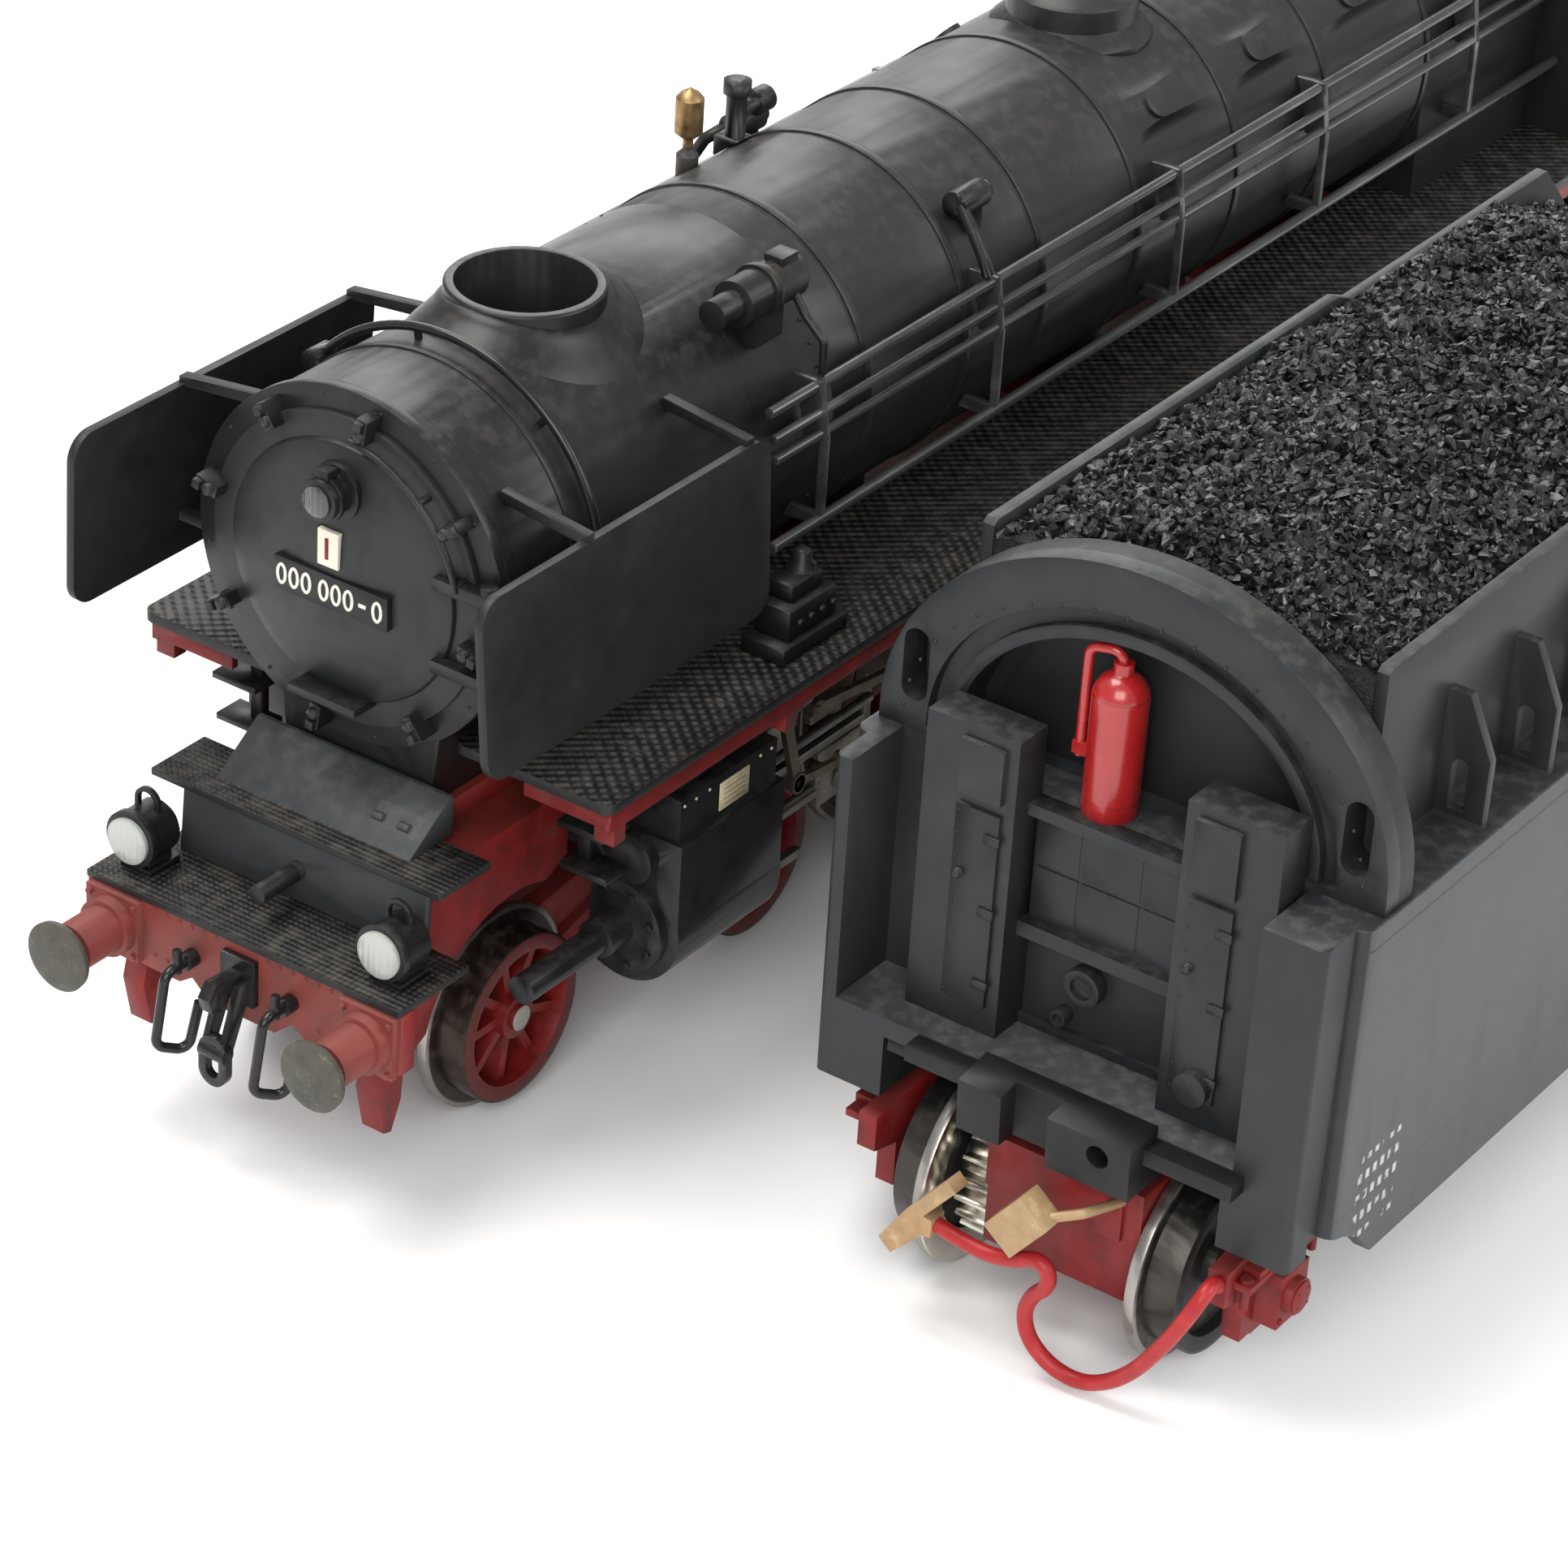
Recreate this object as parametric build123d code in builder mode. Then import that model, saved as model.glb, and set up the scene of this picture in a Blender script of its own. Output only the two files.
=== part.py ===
from build123d import *
import math
import os

os.makedirs("parts", exist_ok=True)

# Sizes are in millimetres. X runs forward, Y to the engine's left, Z up.
# The origin is on rail level, on the engine's centre line, under the middle driving axle.

# --- wheels and axles -----------------------------------------------------------------
WHEEL_INNER = 7.15          # back face of a wheel from the centre line
WHEEL_WIDTH = 2.8
WHEEL_OUTER = WHEEL_INNER + WHEEL_WIDTH
FLANGE = 1.1
FLANGE_WIDTH = 0.7
AXLE_R = 1.2
AXLE_HOLE_R = 1.28
DRIVER_R = 11.5
LEADING_R = 5.75
TRAILING_R = 7.2
TENDER_R = 5.75
DRIVER_PITCH = 26.4
CRANK_R = 3.8
LEFT_CRANK = 210            # degrees, seen from the left side
RIGHT_CRANK = 330
LEAD_X1 = 71.8
LEAD_X2 = 46.5
LEAD_PIVOT_X = (LEAD_X1 + LEAD_X2) / 2
TRAIL_X = -70.7
TRAIL_PIVOT_X = -50.0

# --- engine body ----------------------------------------------------------------------
BUFFER_X = 92.8
BEAM_X = 86.9
BUFFER_Y = 10.06
BUFFER_Z = 12.1
FRAME_Y0 = 5.0
FRAME_Y1 = 6.2
FRAME_TOP = 21.5
BOILER_Z = 36.6
BOILER_R = 11.5
BOILER_BACK = -52.0
SMOKEBOX_BACK = 43.0
SMOKEBOX_FRONT = 77.1
BOARD_Z0 = 25.3
BOARD_Z1 = 26.0
BOARD_HALF = 18.4
BOARD_INNER = 6.5
CHIMNEY_X = 60.6
CHIMNEY_R = 5.05
CHIMNEY_BORE_R = 4.4
CHIMNEY_TOP = 49.6
CYL_X0 = 54.8
CYL_X1 = 65.8
CYL_Y = 13.3
CYL_Z = 11.5
CAB_X0 = -73.0
CAB_HALF = 17.2
CAB_EAVES = 40.8

# --- valve gear and rods --------------------------------------------------------------
COUPLING_Y0 = 10.3
COUPLING_Y1 = 11.2
CONNECT_Y0 = 11.8
CONNECT_Y1 = 12.6
CONNECT_LENGTH = 46.0
CROSSHEAD_Y0 = 12.9
CROSSHEAD_Y1 = 13.7
PIN_R = 0.7
PIN_HOLE_R = 0.78
LINK_X = 33.0
LINK_Z = 18.5

# --- tender ---------------------------------------------------------------------------
TY = 48.0                   # the tender stands beside the engine, parallel to it
TENDER_FRONT = 70.8
TENDER_BACK = -24.0
TENDER_HALF = 17.5
TANK_Z0 = 10.9
TANK_Z1 = 33.0
FLOOR_Z = 13.6
BUNKER_HALF = 12.8
BUNKER_TOP = 45.9
BUNKER_BACK = -10.0
ARCH_X0 = 62.5
ARCH_X1 = 65.5
ARCH_Z = 34.0
TENDER_AXLES = (65.6, 43.8, 22.0, 0.2)
FRONT_BOGIE_X = (TENDER_AXLES[0] + TENDER_AXLES[1]) / 2
REAR_BOGIE_X = (TENDER_AXLES[2] + TENDER_AXLES[3]) / 2
BLOCK_Y0 = 44.4
BLOCK_Y1 = 55.0
MODULE = 0.4
AXLE_TEETH = 20
IDLER_TEETH = 16
PINION_TEETH = 10
IDLER_X = 58.9
IDLER_Z = 8.4
WIRE_R = 0.5
JOINT_GAP = 0.02             # joint line between an axle and its wheels, and inside the frame


def block(x0, x1, y0, y1, z0, z1, mode=Mode.ADD):
    """A box given by its two limits along each axis."""
    with Locations(((x0 + x1) / 2, (y0 + y1) / 2, (z0 + z1) / 2)):
        Box(x1 - x0, y1 - y0, z1 - z0, mode=mode)


def rod_x(x0, x1, y, z, r, mode=Mode.ADD):
    with Locations(((x0 + x1) / 2, y, z)):
        Cylinder(r, x1 - x0, rotation=(0, 90, 0), mode=mode)


def rod_y(x, y0, y1, z, r, mode=Mode.ADD):
    with Locations((x, (y0 + y1) / 2, z)):
        Cylinder(r, abs(y1 - y0), rotation=(90, 0, 0), mode=mode)


def rod_z(x, y, z0, z1, r, mode=Mode.ADD):
    with Locations((x, y, (z0 + z1) / 2)):
        Cylinder(r, z1 - z0, mode=mode)


def side_plate(points, y0, y1, mode=Mode.ADD):
    """A plate drawn in side view (x, z) that spans y0 to y1."""
    with BuildSketch(Plane(origin=(0, y0, 0), x_dir=(1, 0, 0), z_dir=(0, -1, 0))) as outline:
        with BuildLine():
            Polyline(*points, close=True)
        make_face()
    extrude(outline.sketch, amount=-(y1 - y0), mode=mode)


def front_plate(points, x0, x1, mode=Mode.ADD):
    """A plate drawn in front view (y, z) that spans x0 to x1."""
    with BuildSketch(Plane(origin=(x0, 0, 0), x_dir=(0, 1, 0), z_dir=(1, 0, 0))) as outline:
        with BuildLine():
            Polyline(*points, close=True)
        make_face()
    extrude(outline.sketch, amount=x1 - x0, mode=mode)


def boiler_clearance(r=BOILER_R):
    """Cuts a fitting to sit on the round of the boiler."""
    rod_x(-60, 80, 0, BOILER_Z, r, mode=Mode.SUBTRACT)


def cap_radius(half, height):
    """Radius of the ball whose cap has the given half width and height."""
    return (half ** 2 + height ** 2) / (2 * height)


def keep(piece, label):
    piece.part.label = label
    export_step(piece.part, f"parts/{label}.step")


def crank(angle, r=CRANK_R):
    return r * math.cos(math.radians(angle)), DRIVER_R + r * math.sin(math.radians(angle))


# ======================================================================================
# ENGINE: frame and front end
# ======================================================================================
FRAME_OUTLINE = (
    (85.6, 10.2), (85.6, 14.5), (80.4, 14.5), (78.4, 19.9), (76.1, 19.9), (76.1, FRAME_TOP),
    (-79.0, FRAME_TOP), (-79.0, 16.4), (-56.0, 16.4), (-48.0, 9.0), (36.0, 9.0),
    (38.5, 13.7), (80.2, 13.7), (81.8, 10.2),
)
with BuildPart() as loco_frame:
    for y in (-FRAME_Y1, FRAME_Y0):
        side_plate(FRAME_OUTLINE, y, y + FRAME_Y1 - FRAME_Y0)
    inner = FRAME_Y0 - JOINT_GAP
    block(-79, 76, -inner, inner, 20.5, FRAME_TOP)
    block(54, 64.3, -inner, inner, 14.2, 16.2)
    for x in (13.2, -13.2):
        block(x - 1.2, x + 1.2, -inner, inner, 10, 20.6)
    block(-53, -47, -inner, inner, 9.6, 13.2)
    block(-79, -74, -inner, inner, 16.4, 20.6)
    # lightening holes in the side plates
    for x in (66.0, 46.0, 36.0, -36.0, -62.0):
        with Locations((x, 0, 18.4)):
            Box(6.0, 20, 1.8, mode=Mode.SUBTRACT)
    # wheel arch plates over the leading wheels, and the rail guards below the beam
    for s in (-1, 1):
        with BuildSketch(Plane(origin=(0, s * 8.4, 0), x_dir=(1, 0, 0), z_dir=(0, -1, 0))):
            with BuildLine():
                Polyline((66.4, 19.8), (66.4, 15.0), (81.3, 8.0), (83.4, 8.0), (84.6, 9.7),
                         (84.6, 14.5), (80.4, 14.5), (80.2, 19.8), close=True)
            make_face()
            with Locations((LEAD_X1, LEADING_R)):
                Circle(8.9, mode=Mode.SUBTRACT)
        extrude(amount=-s * 0.7)
        block(66.4, 80.2, min(s * 6.1, s * 9.1), max(s * 6.1, s * 9.1), 19.0, 19.8)
        block(82.2, 84.6, min(s * 6.1, s * 9.1), max(s * 6.1, s * 9.1), 10.4, 11.6)
        side_plate(((83.6, 10.6), (85.5, 10.6), (86.3, 7.6), (85.6, 4.4), (84.9, 4.2),
                    (84.0, 6.2)), min(s * 8.5, s * 10.2), max(s * 8.5, s * 10.2))
    # posts that carry the running boards
    for x in (50.0, 13.2, -13.2, -31.0):
        for s in (-1, 1):
            block(x - 1.0, x + 1.0, min(s * FRAME_Y0, s * 8.2), max(s * FRAME_Y0, s * 8.2),
                  24.5, BOARD_Z0)
            block(x - 1.0, x + 1.0, min(s * FRAME_Y0, s * FRAME_Y1),
                  max(s * FRAME_Y0, s * FRAME_Y1), FRAME_TOP - 0.5, 24.6)
    # bearings for the driving axles, the bogie pin, the truck pin and the drawbar pin
    for x in (-DRIVER_PITCH, 0, DRIVER_PITCH):
        rod_y(x, -7, 7, DRIVER_R, AXLE_HOLE_R, mode=Mode.SUBTRACT)
    rod_z(LEAD_PIVOT_X, 0, 14, 17, AXLE_HOLE_R, mode=Mode.SUBTRACT)
    rod_z(TRAIL_PIVOT_X, 0, 9, 14, AXLE_HOLE_R, mode=Mode.SUBTRACT)
    rod_z(-76.5, 0, 16, 21, 0.88, mode=Mode.SUBTRACT)
keep(loco_frame, "loco_frame")

with BuildPart() as buffer_beam:
    front_plate(((-12.4, 14.5), (12.4, 14.5), (12.4, 10.3), (7.4, 9.7), (5.0, 9.7), (4.0, 10.4),
                 (2.6, 9.2), (-2.6, 9.2), (-4.0, 10.4), (-5.0, 9.7), (-7.4, 9.7), (-12.4, 10.3)),
                85.6, BEAM_X)
    for s in (-1, 1):
        block(85.6, BEAM_X, min(s * 11.7, s * 12.4), max(s * 11.7, s * 12.4), 10.6, 14.5)
        block(BEAM_X, BEAM_X + 0.5, s * BUFFER_Y - 2.1, s * BUFFER_Y + 2.1, 10.0, 14.3)
        rod_x(BEAM_X + 0.5, BEAM_X + 1.3, s * BUFFER_Y, BUFFER_Z, 1.95)
        rod_x(BEAM_X + 1.3, BEAM_X + 4.3, s * BUFFER_Y, BUFFER_Z, 1.6)
        for dy in (-1.75, 1.75):
            for dz in (-1.75, 1.75):
                rod_x(BEAM_X + 0.5, BEAM_X + 0.75, s * BUFFER_Y + dy, BUFFER_Z + dz, 0.22)
keep(buffer_beam, "buffer_beam")

HEAD_BALL = cap_radius(2.35, 0.35)
with BuildPart() as buffer_heads:
    for s in (-1, 1):
        with BuildSketch(Plane(origin=(0, s * BUFFER_Y, BUFFER_Z), x_dir=(1, 0, 0),
                               z_dir=(0, -1, 0))):
            with BuildLine():
                Polyline((BEAM_X + 4.3, 0), (BEAM_X + 4.3, 1.0), (BUFFER_X - 0.9, 1.0),
                         (BUFFER_X - 0.75, 2.3), (BUFFER_X - 0.35, 2.35))
                CenterArc((BUFFER_X - HEAD_BALL, 0), HEAD_BALL, 0,
                          math.degrees(math.asin(2.35 / HEAD_BALL)))
                Line((BUFFER_X, 0), (BEAM_X + 4.3, 0))
            make_face()
        revolve(axis=Axis((0, s * BUFFER_Y, BUFFER_Z), (1, 0, 0)))
keep(buffer_heads, "buffer_heads")

with BuildPart() as front_platforms:
    block(80.4, BEAM_X + 0.2, -12.4, 12.4, 14.5, 15.0)
    block(77.2, 82.2, -11.4, 11.4, 19.95, 20.45)
keep(front_platforms, "front_platforms")

with BuildPart() as apron_panels:
    side_plate(((80.9, 15.0), (81.5, 15.0), (81.1, 19.95), (80.5, 19.95)), -9.6, 9.6)
    side_plate(((80.4, 20.45), (79.4, 20.45), (76.5, 22.5), (76.5, 23.15)), -7.6, 7.6)
    block(76.2, 76.5, -7.6, 7.6, 20.45, 23.15)
    for s in (-1, 1):
        side_plate(((80.4, 20.45), (76.2, 20.45), (76.2, 23.15), (76.5, 23.15)),
                   min(s * 7.0, s * 7.6), max(s * 7.0, s * 7.6))
    rod_x(81.0, 85.2, -0.3, 17.1, 0.62)
    rod_y(78.9, 3.6, 4.4, 21.55, 0.28)
    rod_y(78.9, 5.6, 6.4, 21.55, 0.28)
keep(apron_panels, "apron_panels")

with BuildPart() as screw_coupling:
    block(BEAM_X, BEAM_X + 0.5, -1.3, 1.3, 10.6, 13.8)
    side_plate(((BEAM_X + 0.4, 12.9), (BEAM_X + 2.9, 13.2), (BEAM_X + 3.6, 12.3),
                (BEAM_X + 3.3, 11.3), (BEAM_X + 2.5, 11.1), (BEAM_X + 2.7, 11.9),
                (BEAM_X + 2.0, 12.1), (BEAM_X + 0.4, 11.6)), -0.45, 0.45)
    for s in (-1, 1):
        side_plate(((BEAM_X + 0.4, 12.4), (BEAM_X + 1.3, 12.4), (BEAM_X + 2.9, 8.0),
                    (BEAM_X + 2.1, 7.6), (BEAM_X + 0.4, 11.3)),
                   min(s * 0.45, s * 0.9), max(s * 0.45, s * 0.9))
    rod_y(BEAM_X + 2.5, -1.0, 1.0, 8.0, 0.55)
    with BuildSketch(Plane(origin=(BEAM_X + 2.2, 0, 0), x_dir=(0, 1, 0), z_dir=(1, 0, 0))):
        with Locations((0, 7.4)):
            SlotOverall(3.6, 2.2, rotation=90)
            SlotOverall(2.4, 1.0, rotation=90, mode=Mode.SUBTRACT)
    extrude(amount=0.6)
keep(screw_coupling, "screw_coupling")

with BuildPart() as brake_hoses:
    for s in (-1, 1):
        y = s * 3.9
        with BuildLine():
            hose = FilletPolyline((BEAM_X, y, 12.0), (BEAM_X + 2.6, y, 12.0),
                                  (BEAM_X + 2.9, y - 0.6, 6.6), (BEAM_X + 1.2, y + 0.6, 6.0),
                                  (BEAM_X + 0.6, y + 1.0, 9.4), radius=0.75)
        with BuildSketch(Plane(origin=(BEAM_X, y, 12.0), z_dir=(1, 0, 0))):
            Circle(0.33)
        sweep(path=hose)
        rod_x(BEAM_X, BEAM_X + 0.9, y, 12.0, 0.6)
        rod_z(BEAM_X + 1.5, y, 11.6, 13.2, 0.3)
keep(brake_hoses, "brake_hoses")

LAMP_Y = 9.9
LAMP_Z = 17.5
with BuildPart() as front_lamps:
    for s in (-1, 1):
        y = s * LAMP_Y
        with BuildSketch(Plane(origin=(0, y, LAMP_Z), x_dir=(1, 0, 0), z_dir=(0, -1, 0))):
            with BuildLine():
                Polyline((82.7, 0), (82.7, 1.2), (83.2, 1.75), (85.3, 1.75), (85.3, 1.9),
                         (85.9, 1.9), (85.9, 0), close=True)
            make_face()
        revolve(axis=Axis((0, y, LAMP_Z), (1, 0, 0)))
        block(82.9, 85.0, y - 0.8, y + 0.8, 15.0, LAMP_Z)
        block(82.6, 85.4, y - 1.2, y + 1.2, 15.0, 15.4)
        with BuildSketch(Plane(origin=(84.0, 0, 0), x_dir=(0, 1, 0), z_dir=(1, 0, 0))):
            with Locations((y, LAMP_Z + 1.7)):
                SlotOverall(2.6, 1.9, rotation=90)
                SlotOverall(2.0, 1.3, rotation=90, mode=Mode.SUBTRACT)
        extrude(amount=0.35)
keep(front_lamps, "front_lamps")

DOOR_LAMP_Z = 42.3
with BuildPart() as lamp_lenses:
    for s in (-1, 1):
        rod_x(85.9, 86.2, s * LAMP_Y, LAMP_Z, 1.55)
    rod_x(80.2, 80.4, 0, DOOR_LAMP_Z, 1.0)
keep(lamp_lenses, "lamp_lenses")

# ======================================================================================
# ENGINE: smokebox, boiler and fittings
# ======================================================================================
with BuildPart() as smokebox:
    rod_x(SMOKEBOX_BACK, SMOKEBOX_FRONT - 0.7, 0, BOILER_Z, BOILER_R)
    rod_x(SMOKEBOX_FRONT - 0.8, SMOKEBOX_FRONT, 0, BOILER_Z, BOILER_R + 0.25)
    rod_x(69.6, 70.2, 0, BOILER_Z, BOILER_R + 0.12)
    # saddle that stands on the frame
    front_plate(((-5.6, FRAME_TOP), (5.6, FRAME_TOP), (6.4, 27.6), (-6.4, 27.6)), 56, 76)
    # well that takes the chimney
    rod_z(CHIMNEY_X, 0, 43.2, 50, CHIMNEY_R, mode=Mode.SUBTRACT)
keep(smokebox, "smokebox")

DOOR_BALL = cap_radius(8.45, 1.0)
with BuildPart() as smokebox_door:
    rod_x(SMOKEBOX_FRONT, SMOKEBOX_FRONT + 0.5, 0, BOILER_Z, 10.2)
    with BuildSketch(Plane(origin=(0, 0, BOILER_Z), x_dir=(1, 0, 0), z_dir=(0, -1, 0))):
        with BuildLine():
            Line((SMOKEBOX_FRONT + 0.4, 0), (SMOKEBOX_FRONT + 0.4, 8.6))
            Line((SMOKEBOX_FRONT + 0.4, 8.6), (SMOKEBOX_FRONT + 0.8, 8.45))
            CenterArc((SMOKEBOX_FRONT + 1.8 - DOOR_BALL, 0), DOOR_BALL, 0,
                      math.degrees(math.asin(8.45 / DOOR_BALL)))
            Line((SMOKEBOX_FRONT + 1.8, 0), (SMOKEBOX_FRONT + 0.4, 0))
        make_face()
    revolve(axis=Axis((0, 0, BOILER_Z), (1, 0, 0)))
keep(smokebox_door, "smokebox_door")

with BuildPart() as door_fittings:
    # clamps round the rim of the door
    for a in (35, 80, 122, 166, 210, 262, 306, 350):
        with Locations(Location((SMOKEBOX_FRONT + 0.75, 10.35 * math.cos(math.radians(a)),
                                 BOILER_Z + 10.35 * math.sin(math.radians(a))), (a, 0, 0))):
            Box(1.5, 1.7, 0.8)
            with Locations((0.4, 0.5, 0)):
                Box(1.5, 0.55, 0.55)
    # hinges on the left-hand side of the door
    for z in (BOILER_Z + 2.2, BOILER_Z - 3.4):
        block(SMOKEBOX_FRONT, SMOKEBOX_FRONT + 1.5, 7.4, 11.4, z - 0.4, z + 0.4)
        rod_z(SMOKEBOX_FRONT + 0.9, 11.2, z - 0.9, z + 0.9, 0.55)
    # curved hand rail, its knobs and the step below
    with BuildLine():
        rail = ThreePointArc((SMOKEBOX_FRONT + 1.5, 1.0, BOILER_Z + 9.4),
                             (SMOKEBOX_FRONT + 1.5, 6.7, BOILER_Z + 6.68),
                             (SMOKEBOX_FRONT + 1.5, 9.2, BOILER_Z + 2.2))
    with BuildSketch(Plane(origin=rail @ 0, z_dir=rail % 0)):
        Circle(0.22)
    sweep(path=rail)
    for t in (0.03, 0.5, 0.97):
        p = rail @ t
        rod_x(SMOKEBOX_FRONT, SMOKEBOX_FRONT + 1.5, p.Y, p.Z, 0.25)
    block(SMOKEBOX_FRONT, SMOKEBOX_FRONT + 2.6, -2.6, 2.6, BOILER_Z - 8.4, BOILER_Z - 7.9)
    # lamp body on the upper part of the door
    rod_x(SMOKEBOX_FRONT, 78.7, 0, DOOR_LAMP_Z, 1.85)
    rod_x(78.7, 80.2, 0, DOOR_LAMP_Z, 1.35)
    rod_x(79.5, 79.8, 0, DOOR_LAMP_Z, 1.55)
    block(79.0, 79.9, -0.5, 0.5, DOOR_LAMP_Z + 1.3, DOOR_LAMP_Z + 1.9)
    add(smokebox_door.part, mode=Mode.SUBTRACT)
    rod_x(SMOKEBOX_FRONT - 1, SMOKEBOX_FRONT, 0, BOILER_Z, 13, mode=Mode.SUBTRACT)
keep(door_fittings, "door_fittings")

with BuildPart() as number_plates:
    block(SMOKEBOX_FRONT + 1, 79.1, -4.2, 4.5, 34.6, 36.8)
    block(SMOKEBOX_FRONT + 1, 79.1, -1.0, 0.7, 37.4, 39.8)
    add(smokebox_door.part, mode=Mode.SUBTRACT)
keep(number_plates, "number_plates")

with BuildPart() as chimney:
    with BuildSketch(Plane(origin=(CHIMNEY_X, 0, 0), x_dir=(1, 0, 0), z_dir=(0, -1, 0))):
        with BuildLine():
            Polyline((0, 43.2), (CHIMNEY_R, 43.2), (CHIMNEY_R, CHIMNEY_TOP - 0.15),
                     (CHIMNEY_R - 0.15, CHIMNEY_TOP), (CHIMNEY_BORE_R, CHIMNEY_TOP),
                     (CHIMNEY_BORE_R, 44.0), (0, 44.0), close=True)
        make_face()
    revolve(axis=Axis((CHIMNEY_X, 0, 0), (0, 0, 1)))
    for r, lift in ((6.7, 0.35), (5.9, 0.75), (5.4, 1.2)):
        with BuildPart(mode=Mode.PRIVATE) as flange:
            rod_x(50, 72, 0, BOILER_Z, BOILER_R + lift)
            rod_z(CHIMNEY_X, 0, 44.0, 49.0, r, mode=Mode.INTERSECT)
            rod_z(CHIMNEY_X, 0, 43.0, 50.0, CHIMNEY_R - 0.1, mode=Mode.SUBTRACT)
        add(flange.part)
    with BuildPart(mode=Mode.PRIVATE) as barrel:
        rod_x(40, 80, 0, BOILER_Z, BOILER_R)
        rod_z(CHIMNEY_X, 0, 40, 50, CHIMNEY_R, mode=Mode.SUBTRACT)
    add(barrel.part, mode=Mode.SUBTRACT)
keep(chimney, "chimney")

with BuildPart() as boiler_shell:
    rod_x(BOILER_BACK, SMOKEBOX_BACK, 0, BOILER_Z, BOILER_R)
    for x in (39.0, 27.8, 18.4, 6.5, -6.5, -19.0, -33.5):
        rod_x(x - 0.35, x + 0.35, 0, BOILER_Z, BOILER_R + 0.15)
    # outer firebox
    block(BOILER_BACK, -34, -11.2, 11.2, BOARD_Z1, BOILER_Z)
    block(BOILER_BACK, -34, -6.3, 6.3, FRAME_TOP, BOARD_Z1)
    # support between frame and barrel
    for x in (30.0, 0.0):
        block(x - 1.5, x + 1.5, -4.8, 4.8, FRAME_TOP, 27.5)
    # wash-out plugs along both flanks
    for x in (1.0, -12.0, -25.0, -40.0):
        for s in (-1, 1):
            with Locations(Location((x, 0, BOILER_Z), (-s * 48, 0, 0))):
                with Locations((0, 0, BOILER_R)):
                    Cylinder(1.1, 0.7)
keep(boiler_shell, "boiler_shell")

with BuildPart() as steam_domes:
    for x, r, top in ((-1.2, 4.6, 51.3), (-26.5, 4.3, 51.6)):
        with BuildSketch(Plane(origin=(x, 0, 0), x_dir=(1, 0, 0), z_dir=(0, -1, 0))):
            with BuildLine():
                Polyline((0, 42), (r + 1.1, 42), (r + 1.1, top - 4.2), (r, top - 3.2),
                         (r, top - 1.6))
                ball = cap_radius(r, 1.6)
                spread = math.degrees(math.asin(r / ball))
                CenterArc((0, top - ball), ball, 90 - spread, spread)
                Line((0, top), (0, 42))
            make_face()
        revolve(axis=Axis((x, 0, 0), (0, 0, 1)))
    boiler_clearance()
    for x in (6.5, -6.5, -19.0, -33.5):
        rod_x(x - 0.35, x + 0.35, 0, BOILER_Z, BOILER_R + 0.15, mode=Mode.SUBTRACT)
keep(steam_domes, "steam_domes")

RAILS = ((12.3, 41.2, 0.36), (12.7, 39.5, 0.32), (12.9, 38.1, 0.32), (13.1, 32.0, 0.4))
with BuildPart() as side_pipes:
    for s in (-1, 1):
        for y, z, r in RAILS:
            rod_x(-51.5, 51.5, s * y, z, r)
        for x in (46.0, 26.0, 3.5, -16.0, -38.0):
            front_plate(((s * 10.2, 41.6), (s * 12.7, 41.6), (s * 13.3, 37.6), (s * 10.6, 37.6)),
                        x, x + 0.6)
            block(x, x + 0.6, min(s * 10.3, s * 13.3), max(s * 10.3, s * 13.3), 31.6, 32.4)
            block(x, x + 0.6, min(s * 12.9, s * 13.3), max(s * 12.9, s * 13.3), 31.6, 38.0)
    boiler_clearance(BOILER_R + 0.15)
    block(BOILER_BACK - 1, -34, -11.2, 11.2, BOARD_Z1, BOILER_Z, mode=Mode.SUBTRACT)
keep(side_pipes, "side_pipes")

with BuildPart() as turbo_generator:
    rod_x(44.6, 50.6, 8.5, 47.1, 1.55)
    rod_x(47.6, 48.2, 8.5, 47.1, 1.8)
    rod_x(50.6, 52.8, 8.5, 47.1, 1.0)
    rod_x(43.9, 44.6, 8.5, 47.1, 1.1)
    block(46.6, 49.6, 7.6, 9.6, 44.0, 47.1)
    block(44.9, 46.6, 7.9, 9.3, 48.0, 49.0)
    with BuildLine():
        steam = FilletPolyline((45.6, 9.6, 46.6), (45.6, 10.6, 45.2), (45.6, 12.1, 43.9),
                               (45.6, 12.15, 41.7), radius=0.5)
    with BuildSketch(Plane(origin=steam @ 0, z_dir=steam % 0)):
        Circle(0.28)
    sweep(path=steam)
    boiler_clearance()
keep(turbo_generator, "turbo_generator")

with BuildPart() as boiler_valves:
    for s in (-1, 1):
        rod_x(23.6, 26.6, s * 9.0, 45.6, 0.95)
        rod_x(22.9, 23.6, s * 9.0, 45.6, 0.6)
        block(24.4, 25.6, min(s * 8.2, s * 9.8), max(s * 8.2, s * 9.8), 43.5, 45.6)
        with BuildLine():
            feed = FilletPolyline((26.3, s * 9.4, 45.6), (26.9, s * 10.8, 44.4),
                                  (26.9, s * 11.7, 42.9), (26.9, s * 12.25, 41.75), radius=0.4)
        with BuildSketch(Plane(origin=feed @ 0, z_dir=feed % 0)):
            Circle(0.42)
        sweep(path=feed)
    # upright valve with two heads on the right-hand flank
    rod_z(28.6, -7.2, 44.5, 49.4, 0.7)
    rod_z(28.6, -7.2, 49.4, 50.3, 0.95)
    rod_x(26.4, 28.6, -7.2, 48.0, 0.55)
    rod_x(25.2, 26.6, -7.2, 48.0, 0.9)
    block(27.9, 29.6, -8.2, -6.2, 45, 46.4)
    boiler_clearance(BOILER_R + 0.15)
keep(boiler_valves, "boiler_valves")

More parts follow.
